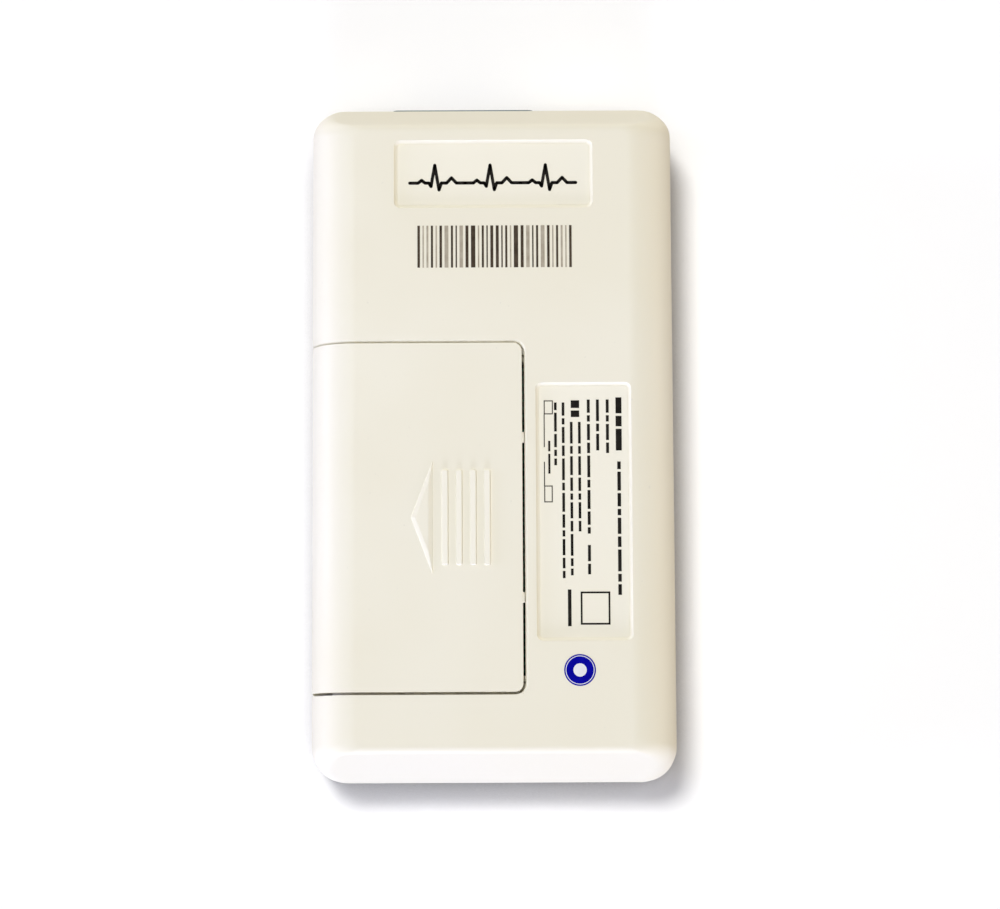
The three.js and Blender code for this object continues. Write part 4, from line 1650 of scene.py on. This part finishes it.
KEYS = (
    Key("event", 13, 13, KEY_BLUE, "event_button_plastic"),
    Key("up", 10, 4.4),
    Key("down", 10, 4.4),
    Key("back", 4.4, 10),
    Key("confirm", 4.4, 10),
)


@dataclass
class Keypad(Assembly):
    """The five keys of the front face, each with a plain raised mark."""

    mark_rise: float = 0.12
    mark_sunk: float = 0.1
    mark_round: float = 0.05
    ring_radius: float = 2.6
    ring_hole: float = 2.0
    bar_length: float = 2.6
    bar_width: float = 0.6

    def build(self) -> None:
        """Builds the caps and their marks."""
        for key in KEYS:
            body = f"{key.name}_key"
            self.keep(key.cap(), key.slot, f"{key.name}_button", body=body)
            self.keep(self.mark(key), key.slot, body=body)

    def mark(self, key: Key) -> Piece:
        """A raised bar or ring that tells the keys apart by touch.

        Args:
            key: The key that carries it.

        Returns:
            The mark.
        """
        low, high = key.face - self.mark_rise, key.face + self.mark_sunk
        x, y = key.middle()
        name = f"{key.name}_key_mark"
        if key.name == "event":
            centre = (x, y, (low + high) / 2)
            mark = rod(name, centre, self.ring_radius, high - low, sides=48)
            combine(mark, rod("hole", (x, y, 0), self.ring_hole, 4, sides=48), Join.CUT)
        else:
            size = (self.bar_length, self.bar_width)
            if key.width < key.length:
                size = size[::-1]
            mark = plate(name, (x, y), size, self.bar_width / 2 - 0.01, low, high)
        return dress(smoothed(soften(mark, self.mark_round)), WHITE_INK)


@dataclass
class Row:
    """A row of printed dashes, or one printed line, along Y."""

    x: float
    start: float
    end: float
    weight: float


@dataclass
class Border:
    """A printed rectangle drawn with an even line."""

    left: float
    bottom: float
    right: float
    top: float
    weight: float

    def sides(self) -> tuple[tuple[Place, Place], ...]:
        """Gives the four sides.

        Returns:
            Each side's lowest and highest corner.
        """
        left, bottom, right, top, weight = astuple(self)
        return (
            ((left, bottom), (right, bottom + weight)),
            ((left, top - weight), (right, top)),
            ((left, bottom), (left + weight, top)),
            ((right - weight, bottom), (right, top)),
        )


@dataclass
class Labels(Assembly):
    """The two blank label films in their pockets, with plain printed lines."""

    sunk: float = 0.02
    trace_start: tuple[float, float] = (-11.8, 36.5)
    trace_weight: float = 0.46
    trace_thickness: float = 0.05
    beat_length: float = 7.95
    beat_count: int = 3
    beat: tuple[tuple[float, float], ...] = (
        (0.0, 0.0), (1.2, 0.0), (1.7, 0.4), (2.2, 0.0), (2.75, 0.0), (3.05, -0.5),
        (3.6, 2.6), (4.2, -1.0), (4.55, 0.0), (5.3, 0.0), (6.0, 0.75), (6.7, 0.0), (7.95, 0.0),
    )
    print_thickness: float = 0.04
    dash_gap: float = 0.36
    dash_least: float = 0.5
    dash_lengths: tuple[float, ...] = (2.3, 1.5, 3.1, 1.1, 2.7, 1.9, 0.9)
    rows: tuple[Row, ...] = (
        Row(17.9, 5.3, -2.6, 0.85),
        Row(17.9, -3.9, -22.9, 0.5),
        Row(16.3, 5.0, -3.4, 0.42),
        Row(14.9, 5.0, -2.3, 0.42),
        Row(13.6, 5.0, -14.7, 0.42),
        Row(13.6, -15.8, -20.1, 0.42),
        Row(12.3, 1.8, -14.5, 0.38),
        Row(11.15, 1.8, -20.1, 0.38),
        Row(10.0, 4.6, -20.5, 0.38),
        Row(8.9, 4.6, -4.4, 0.38),
        Row(8.0, -0.9, -5.6, 0.3),
        Row(11.7, 4.9, 2.5, 1.2),
    )
    lines: tuple[Row, ...] = (
        Row(7.3, 2.9, -1.8, 0.14),
        Row(7.3, -3.9, -7.3, 0.14),
        Row(10.75, -22.1, -27.3, 0.5),
    )
    frames: tuple[Border, ...] = (
        Border(7.25, 2.9, 8.55, 4.9, 0.14),
        Border(7.25, -9.7, 8.45, -7.3, 0.14),
        Border(12.3, -27.1, 16.5, -22.4, 0.26),
    )

    def build(self) -> None:
        """Builds the films and their prints."""
        for pocket, node in ((NAME_POCKET, "name_label"), (RATING_POCKET, "rating_label")):
            self.keep(dress(pocket.label(f"{node}_film"), IVORY_FILM), "label_film", node)
        self.keep(self.pulse(), "label_film")
        self.keep(self.ruled_lines(), "label_film")

    def pulse(self) -> Piece:
        """A plain heart-beat trace on the upper label.

        Returns:
            The printed trace.
        """
        low = NAME_POCKET.film_top() - self.sunk
        half, thickness = self.trace_weight / 2, self.trace_thickness
        left, level = self.trace_start
        places = [
            (left + self.beat_length * count + x, level + y)
            for count in range(self.beat_count)
            for x, y in self.beat
        ]
        strokes = []
        for start, end in zip(places, places[1:]):
            run = math.dist(start, end)
            if run < 0.01:
                continue
            stroke = block("stroke", (0, -half, 0), (run, half, thickness))
            stroke.rotation_euler.z = math.atan2(end[1] - start[1], end[0] - start[0])
            stroke.location = Vector((*start, low)) * MM
            strokes.append(settle(stroke, "stroke"))
        dot = rod("stroke_end", (0, 0, low + thickness / 2), half, thickness, sides=16)
        strokes.extend(copied(dot, (x, y, 0)) for x, y in places)
        bpy.data.objects.remove(dot, do_unlink=True)
        return dress(joined("pulse_trace", strokes), BLACK_INK)

    def ruled_lines(self) -> Piece:
        """Rows of plain dashes on the tall label, with a few lines and frames.

        Returns:
            The printed dashes.
        """
        corners = []
        turn = 0
        for row in self.rows:
            y = row.start
            while y > row.end + self.dash_least:
                stop = max(y - self.dash_lengths[turn % len(self.dash_lengths)], row.end)
                corners.append(((row.x - row.weight / 2, stop), (row.x + row.weight / 2, y)))
                y = stop - self.dash_gap
                turn += 1
        for line in self.lines:
            half = line.weight / 2
            corners.append(((line.x - half, line.end), (line.x + half, line.start)))
        for rectangle in self.frames:
            corners.extend(rectangle.sides())
        low = RATING_POCKET.film_top() - self.sunk
        high = low + self.print_thickness
        dashes = [block("dash", (*near, low), (*far, high)) for near, far in corners]
        return dress(joined("ruled_lines", dashes), BLACK_INK)


@dataclass
class BackPrints(Assembly):
    """Plain bars and a plain disc printed straight on the back."""

    sunk: float = 0.02
    bars_left: float = -10.7
    bars_width: float = 22.1
    bars_low: float = 24.1
    bars_high: float = 30.2
    bars_rise: float = 0.02
    half_pattern: tuple[tuple[float, int], ...] = (
        (0.36, 1), (0.2, 0), (0.28, 0), (0.3, 1), (0.2, 0), (0.36, 1), (0.55, 0), (0.3, 1),
        (0.2, 1), (0.5, 0), (0.42, 1), (0.62, 1), (0.2, 0), (0.3, 1), (0.2, 1), (0.42, 1),
    )
    disc_centre: tuple[float, float] = (12.13, -33.5)
    disc_radius: float = 2.24
    disc_rise: float = 0.03
    disc_edge: float = 0.2
    disc_ring: float = 0.1
    disc_band: float = 1.0

    def build(self) -> None:
        """Builds the two tones of bars and the disc."""
        dark, pale = self.bars()
        self.keep(dress(dark, BROWN_INK), "label_film")
        self.keep(dress(pale, TAN_INK), "label_film")
        self.keep(self.disc(), "label_film")

    def bars(self) -> tuple[Piece, Piece]:
        """A row of bars that reads the same from both ends, so it holds no number.

        Returns:
            The dark bars and the pale bars.
        """
        pattern = self.half_pattern + self.half_pattern[::-1]
        gap = (self.bars_width - sum(width for width, _ in pattern)) / (len(pattern) - 1)
        x = self.bars_left
        low, high = FORM.thickness - self.sunk, FORM.thickness + self.bars_rise
        groups: tuple[list[Piece], list[Piece]] = ([], [])
        for width, dark in pattern:
            corners = ((x, self.bars_low, low), (x + width, self.bars_high, high))
            groups[1 - dark].append(block("bar", *corners))
            x += width + gap
        return joined("printed_bars_dark", groups[0]), joined("printed_bars_pale", groups[1])

    def disc(self) -> Piece:
        """The plain blue disc with a fine pale ring and a pale middle.

        Returns:
            The printed disc.
        """
        low, high = FORM.thickness - self.sunk, FORM.thickness + self.disc_rise
        centre = (*self.disc_centre, (low + high) / 2)
        disc = rod("blue_disc", centre, self.disc_radius, high - low, sides=72)
        with shaping(disc):
            pick(disc, Part.FACES, lambda place, normal: normal.z > FACING)
            for width in (self.disc_edge, self.disc_ring, self.disc_band):
                inset(width)
        dress(disc, BLUE_INK)
        return dress_where(disc, WHITE_INK, self.is_pale)

    def is_pale(self, place: Vector, normal: Vector) -> bool:
        """Whether a face belongs to the disc's fine pale ring or its pale middle.

        Args:
            place: The face's middle.
            normal: The face's normal.

        Returns:
            True where the disc is pale.
        """
        away = math.dist(place.xy, self.disc_centre)
        outer = self.disc_radius - self.disc_edge
        inner = outer - self.disc_ring
        is_ring = inner - 2 * NEAR < away < outer + NEAR
        return normal.z > FACING and (is_ring or away < inner - self.disc_band)


@dataclass
class LeadConnector(Assembly):
    """The socket for the patient leads in the upper end."""

    mouth: tuple[float, float] = (17.2, 5.4)
    corner: float = 0.8
    wall_behind: float = 1.2
    columns: int = 8
    pitch: float = 2.0
    row_height: float = 8.1
    row_away: float = 1.1
    pin_half: float = 0.3
    slot_half: float = 0.45
    pin_round: float = 0.16
    wafer: float = 1.0
    wafer_round: float = 0.12
    edge_round: float = 0.1

    def build(self) -> None:
        """Builds flange, housing and pins."""
        self.keep(self.flange(), "connector_plastic", "lead_connector_flange")
        self.keep(self.housing(), "connector_plastic", "lead_connector_housing")
        self.keep(self.pins(), "pin_metal", "lead_connector_pins")

    def pin_places(self) -> list[tuple[float, float]]:
        """Where the pins stand.

        Returns:
            Each pin's place on X and Z.
        """
        low, high = box_of("lead_connector_housing")
        first = (low.x + high.x) / 2 - (self.columns - 1) / 2 * self.pitch
        return [
            (first + column * self.pitch, self.row_height + row * self.row_away)
            for row in (-1, 1)
            for column in range(self.columns)
        ]

    def flange(self) -> Piece:
        """Builds the rim that shows as a thin dark line at the upper end.

        Returns:
            The flange.
        """
        low, high = box_of("lead_connector_flange")
        middle = ((low.x + high.x) / 2, (low.z + high.z) / 2)
        size = (high.x - low.x, high.z - low.z)
        flange = plate("connector_flange", middle, size, self.corner, low.y, high.y, axis=Axis.Y)
        reach = (low.y - 1, high.y + 1)
        mouth = plate("mouth", middle, self.mouth, self.corner, *reach, axis=Axis.Y)
        combine(flange, mouth, Join.CUT)
        return dress(smoothed(soften(flange, self.edge_round, 3)), SOCKET_GREEN)

    def housing(self) -> Piece:
        """Builds the body behind the rim, with the holes for its pins.

        Returns:
            The housing.
        """
        low, high = box_of("lead_connector_housing")
        housing = block("connector_housing", low, high)
        centre = (low + high) / 2
        half_x, half_z = self.mouth[0] / 2, self.mouth[1] / 2
        near = (centre.x - half_x, low.y + self.wall_behind, centre.z - half_z)
        far = (centre.x + half_x, high.y + 1, centre.z + half_z)
        combine(housing, block("hollow", near, far), Join.CUT)
        half = self.slot_half
        for x, z in self.pin_places():
            slot = block("slot", (x - half, low.y - 1, z - half), (x + half, low.y + 2, z + half))
            combine(housing, slot, Join.CUT)
        return dress(smoothed(soften(housing, self.edge_round)), SOCKET_BLACK)

    def pins(self) -> Piece:
        """Builds the wafer and two rows of pins with rounded tips.

        Returns:
            Wafer and pins as one piece.
        """
        low, high = box_of("lead_connector_pins")
        half = self.pin_half
        pin = block("pin", (-half, low.y + self.wafer / 2, -half), (half, high.y, half))
        with shaping(pin):
            pick(pin, Part.FACES, lambda place, normal: normal.y > FACING)
            inset(0.01)
            draw_out(0, -0.001, 0)
        smoothed(soften(pin, self.pin_round, 3))
        pins = [copied(pin, (x, 0, z)) for x, z in self.pin_places()]
        bpy.data.objects.remove(pin, do_unlink=True)
        wafer = block("wafer", low, (high.x, low.y + self.wafer, high.z))
        smoothed(soften(wafer, self.wafer_round))
        piece = joined("connector_pins", [*pins, wafer])
        dress(piece, GOLD)
        edge = low.y + self.wafer + 0.01
        return dress_where(
            piece, SOCKET_BLACK, lambda place, normal: place.y < edge and not self.near_pin(place)
        )

    def near_pin(self, place: Vector) -> bool:
        """Whether a place lies on a pin and not on the wafer."""
        reach = self.pin_half + 0.01
        return any(max(abs(place.x - x), abs(place.z - z)) < reach for x, z in self.pin_places())


@dataclass
class Cell:
    """One battery cell: a steel can in a printed sleeve, with its nub and its seal.

    Attributes:
        name: Which cell it is.
        end: 1 where the nub points to the upper end, -1 to the lower.
    """

    name: str
    end: int
    radius: float = 5.25
    nub: float = 0.8
    crimp: float = 0.55
    sink: float = 0.35
    seal: float = 1.75
    nub_edge: float = 0.2
    flat_rim: float = 0.6
    flat_sink: float = 0.15
    band_end: float = 9.5
    bare_end: float = 10.3
    edge_round: float = 0.22
    sleeve_radius: float = 5.1
    band_radius: float = 4.9
    steel_radius: float = 4.72
    seal_radii: tuple[float, float] = (2.9, 4.6)
    seal_depth: float = 0.5

    def build(self) -> Piece:
        """Builds and dresses the cell.

        Returns:
            The cell.
        """
        low, high = box_of(f"aaa_cell_{self.name}")
        centre = (low + high) / 2
        end = self.end
        foot, crown = (low.y, high.y - self.nub) if end > 0 else (low.y + self.nub, high.y)
        middle = (centre.x, (foot + crown) / 2, centre.z)
        cell = rod(f"aaa_cell_{self.name}_can", middle, self.radius, crown - foot, Axis.Y, 64)
        nub_face = crown if end > 0 else foot
        with shaping(cell):
            pick(cell, Part.FACES, lambda place, normal: normal.y * end > FACING)
            inset(self.crimp)
            draw_out(0, -self.sink * end, 0)
            inset(self.seal)
            inset(self.nub_edge)
            draw_out(0, (self.nub + self.sink) * end, 0)
            pick(cell, Part.FACES, lambda place, normal: normal.y * end < -FACING)
            inset(self.flat_rim)
            draw_out(0, self.flat_sink * end, 0)
            for away in (self.band_end, self.bare_end):
                pick_all()
                height = (nub_face - end * away) * MM
                bpy.ops.mesh.bisect(plane_co=(0, height, 0), plane_no=(0, 1, 0))
        smoothed(soften(cell, self.edge_round, 3, 50))
        return self.dressed(cell, centre, nub_face)

    def dressed(self, cell: Piece, centre: Vector, nub_face: float) -> Piece:
        """Gives the can its sleeve, its bare steel and its seal.

        Args:
            cell: The can.
            centre: Its middle.
            nub_face: Where its end with the nub lies on Y.

        Returns:
            The same can.
        """

        def spot(place: Vector) -> tuple[float, float]:
            """How far a place lies from the axis, and from the end with the nub."""
            away = math.hypot(place.x - centre.x, place.z - centre.z)
            return away, (nub_face - place.y) * self.end

        dress(cell, SLEEVE_SLATE)
        dress_where(cell, SLEEVE_BAND, lambda place, normal: self.is_band(*spot(place)))
        dress_where(cell, CELL_STEEL, lambda place, normal: self.is_steel(*spot(place)))
        dress_where(cell, SEAL_RING, lambda place, normal: self.is_seal(*spot(place)))
        return cell

    def is_band(self, away: float, deep: float) -> bool:
        """Whether a spot lies on the sleeve's bright band by the nub."""
        return away > self.band_radius and deep < self.band_end

    def is_steel(self, away: float, deep: float) -> bool:
        """Whether a spot lies on an end of the can or on its bare steel ring."""
        is_bare = away > self.sleeve_radius and self.band_end < deep < self.bare_end
        return away < self.steel_radius or is_bare

    def is_seal(self, away: float, deep: float) -> bool:
        """Whether a spot lies on the seal round the nub."""
        return deep < self.seal_depth and self.seal_radii[0] < away < self.seal_radii[1]


@dataclass
class Contact:
    """One battery contact.

    Attributes:
        name: Which contact it is.
        x: The leaf's middle on X.
        half: The leaf's half width.
        end: 1 at the upper end of the bay and -1 at the lower.
        tail: Whether it has a tail down to the board.
        bumps: Where it has a pressed bump, on X in mm.
        springs: Where it has a spring, on X in mm.
    """

    name: str
    x: float
    half: float
    end: int
    tail: bool
    bumps: tuple[float, ...]
    springs: tuple[float, ...]
    near: float = 24.0
    far: float = 24.4
    leaf_middle: float = 12.65
    leaf_height: float = 7.2
    leaf_corner: float = 1.1
    leaf_round: float = 0.07
    tail_half: float = 0.8
    tail_low: float = 6.4
    tail_high: float = 9.85
    cell_height: float = 13.8
    bump_foot: float = 1.8
    bump_top: float = 1.2
    bump_away: float = 23.7
    bump_height: float = 1.0
    bump_round: float = 0.18
    wire_radius: float = 0.25
    coil_near: float = 22.15
    coil_far: float = 23.75
    coil_wide: float = 2.7
    coil_narrow: float = 1.9
    coil_turns: float = 2.0
    coil_points: int = 97

    def build(self) -> Piece:
        """Builds and dresses the contact.

        Returns:
            The contact.
        """
        parts = [self.leaf()]
        parts.extend(self.bump(x) for x in self.bumps)
        parts.extend(self.spring(x) for x in self.springs)
        return dress(joined(f"contact_{self.name}", parts), NICKEL)

    def leaf(self) -> Piece:
        """The flat leaf against the bay's end wall.

        Returns:
            The leaf.
        """
        near, far = BatteryBay.span(self.end, self.near, self.far)
        size = (2 * self.half, self.leaf_height)
        middle = (self.x, self.leaf_middle)
        leaf = plate("leaf", middle, size, self.leaf_corner, near, far, axis=Axis.Y)
        if self.tail:
            corner = (self.x + self.tail_half, far, self.tail_high)
            tail = block("tail", (self.x - self.tail_half, near, self.tail_low), corner)
            combine(leaf, tail, Join.ADD)
        return smoothed(soften(leaf, self.leaf_round))

    def bump(self, x: float) -> Piece:
        """The pressed bump that meets a cell's nub.

        Args:
            x: Its middle on X.

        Returns:
            The bump.
        """
        place = (x, DOOR_PLAN.centre_y + self.end * self.bump_away, self.cell_height)
        take(None)
        bpy.ops.mesh.primitive_cone_add(
            vertices=40,
            radius1=self.bump_foot * MM,
            radius2=self.bump_top * MM,
            depth=self.bump_height * MM,
            location=Vector(place) * MM,
            rotation=(math.pi / 2 * self.end, 0, 0),
        )
        return smoothed(soften(settle(bpy.context.object, "bump"), self.bump_round, 3, 30))

    def spring(self, x: float) -> Piece:
        """The coiled spring that presses on a cell's flat end.

        Args:
            x: Its middle on X.

        Returns:
            The spring.
        """
        curve = bpy.data.curves.new("coil", "CURVE")
        curve.dimensions = "3D"
        curve.bevel_depth = self.wire_radius * MM
        curve.bevel_resolution = 3
        curve.use_fill_caps = True
        line = curve.splines.new("POLY")
        line.points.add(self.coil_points - 1)
        for step, point in enumerate(line.points):
            share = step / (self.coil_points - 1)
            angle = share * self.coil_turns * 2 * math.pi
            radius = self.coil_wide + (self.coil_narrow - self.coil_wide) * share
            along = self.coil_far + (self.coil_near - self.coil_far) * share
            place = (
                x + radius * math.cos(angle),
                DOOR_PLAN.centre_y + self.end * along,
                self.cell_height + radius * math.sin(angle),
            )
            point.co = (*(Vector(place) * MM), 1)
        piece = bpy.data.objects.new("coil", curve)
        bpy.context.scene.collection.objects.link(piece)
        take(piece)
        bpy.ops.object.convert(target="MESH")
        return smoothed(settle(bpy.context.object, "coil"), 60)


@dataclass
class Power(Assembly):
    """The two cells and the three contacts that join them."""

    cells: tuple[Cell, ...] = (Cell("outer", 1), Cell("inner", -1))
    contacts: tuple[Contact, ...] = (
        Contact("positive", -16.2, 3.6, 1, True, (-16.2,), ()),
        Contact("negative", -5.0, 3.6, 1, True, (), (-5.0,)),
        Contact("bridge", -10.6, 9.2, -1, False, (-5.0,), (-16.2,)),
    )

    def build(self) -> None:
        """Builds cells and contacts."""
        for cell in self.cells:
            self.keep(cell.build(), "cell_case", f"aaa_cell_{cell.name}")
        for contact in self.contacts:
            node = f"battery_contact_{contact.name}"
            self.keep(contact.build(), "contact_metal", node)


@dataclass
class DisplayWindow(Assembly):
    """The display window with its printed border."""

    corner: float = 1.85
    edge_round: float = 0.12
    border_thickness: float = 0.04
    border_width: float = 3.5
    view_corner: float = 0.8

    def build(self) -> None:
        """Builds the window and the border behind it."""
        low, high = box_of("display_lens")
        middle = ((low.x + high.x) / 2, (low.y + high.y) / 2)
        size = (high.x - low.x, high.y - low.y)
        back = high.z - self.border_thickness
        window = plate("display_window", middle, size, self.corner, low.z, back)
        smoothed(soften(window, self.edge_round, 3))
        self.keep(dress(window, CLEAR_WINDOW), "lens_plastic", "display_lens")
        border = plate("window_border", middle, size, self.corner, back, high.z)
        view = (size[0] - 2 * self.border_width, size[1] - 2 * self.border_width)
        hole = plate("view", middle, view, self.view_corner, high.z - 1, high.z + 1)
        combine(border, hole, Join.CUT)
        self.keep(dress(smoothed(border), BLACK_INK), "lens_plastic")


@dataclass
class Insides(Assembly):
    """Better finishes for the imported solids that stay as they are."""

    finishes: tuple[tuple[Finish, tuple[str, ...]], ...] = (
        (BOARD_GREEN, ("main_board",)),
        (CHIP_BLACK, ("processor_chip", "memory_chip", "amplifier_chip")),
        (CHIP_BLACK, tuple(f"{key.name}_switch" for key in KEYS)),
        (NICKEL, ("clock_crystal",)),
        (COIL_GREY, ("power_coil",)),
        (SCREEN_GREEN, ("display_module",)),
        (FOAM_BLACK, ("display_carrier",)),
        (RIBBON_AMBER, ("display_ribbon",)),
        (SCREW_STEEL, ("case_screw_1", "case_screw_2", "case_screw_3")),
        (SCREW_STEEL, ("board_screw_1", "board_screw_2")),
    )

    def build(self) -> None:
        """Puts each finish on its solids."""
        for finish, nodes in self.finishes:
            for node in nodes:
                dress(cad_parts[node], finish)

    def report(self) -> None:
        """Logs each finish and its solids."""
        for finish, nodes in self.finishes:
            log.info("Insides: %s on %s", finish.name, ", ".join(nodes))


# The studio

COOL: Colour = (0.93, 0.97, 1.25)
BLUISH: Colour = (0.93, 0.97, 1.42)
SOFT: Colour = (1.0, 0.995, 0.975)
WARM: Colour = (1.0, 0.77, 0.5)
PALE_WARM: Colour = (1.0, 0.93, 0.79)
BLACK: Colour = (0.0, 0.0, 0.0)
WHITE: Colour = (1.0, 1.0, 1.0)


@dataclass
class Lamp:
    """A soft lamp a long way off.

    Attributes:
        level: Its light on a surface that faces it, where 1 shows white as white.
        spread: How wide it looks, in degrees.
    """

    name: str
    towards: Place
    level: float
    spread: float
    colour: Colour

    def hang(self) -> None:
        """Adds the lamp to the scene."""
        data = bpy.data.lights.new(self.name, "SUN")
        data.energy = self.level * math.pi
        data.angle = math.radians(self.spread)
        data.color = self.colour
        lamp = bpy.data.objects.new(self.name, data)
        direction = Vector(self.towards).normalized()
        lamp.rotation_euler = direction.to_track_quat("Z", "Y").to_euler()
        lamp.location = direction
        bpy.context.scene.collection.objects.link(lamp)


@dataclass
class Studio:
    """The floor, the light and the camera.

    Attributes:
        distance: From the camera to the middle of the back.
        tilt: How far the camera leans towards the lower end, in degrees.
        roll: How far the camera is rolled, in radians.
        middle: The pixel of the photograph in which the middle of the back lies.
        floor_tone: The floor's colour in the light that it throws back.
        floor_lift: The floor's own light where the camera sees it.
        contact_reach: How far from the recorder the floor's colour is darkened into a painted
            contact shadow.
        contact_weight: How much the painted contact shadow darkens it there.
    """

    distance: float = 450.0
    tilt: float = 7.03
    roll: float = -0.0045
    focal: float = 113.9
    sensor: float = 36.0
    nearest: float = 0.01
    middle: tuple[float, float] = (492.95, 434.45)
    sky: float = 0.12
    floor_size: float = 6.0
    floor_drop: float = 0.05
    floor_tone: Colour = (0.74, 0.72, 0.68)
    floor_lift: float = 0.1
    contact_reach: float = 8.0
    contact_weight: float = 1.85
    contact_samples: int = 8
    lamps: tuple[Lamp, ...] = (
        Lamp("overhead", (-0.19, 0.3, 1.0), 0.675, 15, SOFT),
        Lamp("left_side", (-1.0, 0.0, 0.06), 0.58, 26, BLUISH),
        Lamp("lower_side", (0.0, -1.0, 0.06), 1.12, 26, COOL),
        Lamp("right_side", (1.0, 0.0, 0.06), 0.32, 26, WARM),
        Lamp("upper_side", (0.0, 1.0, 0.06), 0.19, 26, PALE_WARM),
    )

    def build(self) -> None:
        """Sets the stage."""
        self.floor()
        self.world()
        for lamp in self.lamps:
            lamp.hang()
        self.camera()
        bpy.context.scene.view_settings.view_transform = "Standard"

    def floor(self) -> None:
        """Lays a wide plain floor, white where no shadow falls, with a painted contact shadow near
        the recorder.
        """
        take(None)
        place = (0, 0, -self.floor_drop * MM)
        bpy.ops.mesh.primitive_plane_add(size=self.floor_size, location=place)
        floor = settle(bpy.context.object, "floor")
        material = bpy.data.materials.new("floor_paper")
        material.use_nodes = True
        sheet = MaterialSheet(material.node_tree)
        sheet.feed("Roughness", 1.0)
        sheet.feed("Specular IOR Level", 0.0)
        seen = sheet.add("ShaderNodeLightPath").outputs["Is Camera Ray"]
        # Painted shadow: a grey from ambient occlusion darkens the floor's colour and glow close to
        # the recorder.
        painted_shadow_tone = sheet.mixed(self.contact_light(sheet), opaque(BLACK), opaque(WHITE))
        sheet.feed("Base Color", sheet.mixed(seen, opaque(self.floor_tone), painted_shadow_tone))
        sheet.feed("Emission Color", painted_shadow_tone)
        sheet.feed("Emission Strength", sheet.counted("MULTIPLY", seen, self.floor_lift))
        floor.data.materials.append(material)

    def contact_light(self, sheet: Sheet) -> NodeSocket:
        """The painted contact shadow: how much of its colour and glow the floor keeps close to the
        recorder, from 0 to 1.

        Args:
            sheet: The floor's sheet of nodes.

        Returns:
            The socket that holds it.
        """
        inputs = {"Distance": self.contact_reach * MM}
        near = sheet.add("ShaderNodeAmbientOcclusion", inputs, samples=self.contact_samples)
        # Painted shade: the occluded share becomes darker floor colour.
        hidden = sheet.counted("SUBTRACT", 1.0, near.outputs["AO"])
        soft = sheet.counted("POWER", hidden, 2.0)
        painted_shade = sheet.counted("MULTIPLY", soft, self.contact_weight)
        return sheet.counted("SUBTRACT", 1.0, painted_shade, clamp=True)

    def world(self) -> None:
        """Lights evenly from all round, and shows white to the camera and to gloss."""
        world = bpy.data.worlds.new("studio")
        bpy.context.scene.world = world
        world.use_nodes = True
        world.node_tree.nodes.clear()
        sheet = Sheet(world.node_tree)
        path = sheet.add("ShaderNodeLightPath").outputs
        seen = sheet.counted("MAXIMUM", path["Is Camera Ray"], path["Is Glossy Ray"])
        seen = sheet.counted("MAXIMUM", seen, path["Is Transmission Ray"])
        plain = sheet.add("ShaderNodeBackground", {0: opaque(WHITE), 1: self.sky})
        white = sheet.add("ShaderNodeBackground", {0: opaque(WHITE), 1: 1.0})
        mix = sheet.add("ShaderNodeMixShader", {0: seen, 1: plain.outputs[0], 2: white.outputs[0]})
        sheet.add("ShaderNodeOutputWorld", {0: mix.outputs[0]})

    def camera(self) -> None:
        """Sets the camera where the photograph was taken from."""
        tilt = math.radians(self.tilt)
        away = Vector((0, -math.sin(tilt), math.cos(tilt)))
        up = Vector((0, math.cos(tilt), math.sin(tilt)))
        right = Vector((1, 0, 0)) * math.cos(self.roll) + up * math.sin(self.roll)
        turn = Matrix((right, away.cross(right), away)).transposed().to_4x4()
        data = bpy.data.cameras.new("camera")
        data.lens = self.focal
        data.sensor_width = self.sensor
        data.clip_start = self.nearest
        data.shift_x = (IMAGE_WIDTH / 2 - self.middle[0]) / IMAGE_WIDTH
        data.shift_y = -(IMAGE_HEIGHT / 2 - self.middle[1]) / IMAGE_WIDTH
        camera = bpy.data.objects.new("camera", data)
        place = Vector((0, 0, FORM.thickness)) + away * self.distance
        camera.matrix_world = Matrix.Translation(place * MM) @ turn
        bpy.context.scene.collection.objects.link(camera)
        bpy.context.scene.camera = camera


def main() -> None:
    """Builds each sub-assembly and the studio."""
    logging.basicConfig(level=logging.INFO, format="%(message)s")
    take(None)
    assemblies: list[Assembly] = [
        RearCase(),
        FrontCase(),
        BatteryDoor(),
        Labels(),
        BackPrints(),
        LeadConnector(),
        Power(),
        Keypad(),
        DisplayWindow(),
        Insides(),
    ]
    for assembly in assemblies:
        assembly.build()
        assembly.report()
    Studio().build()


if __name__ == "__main__":
    main()
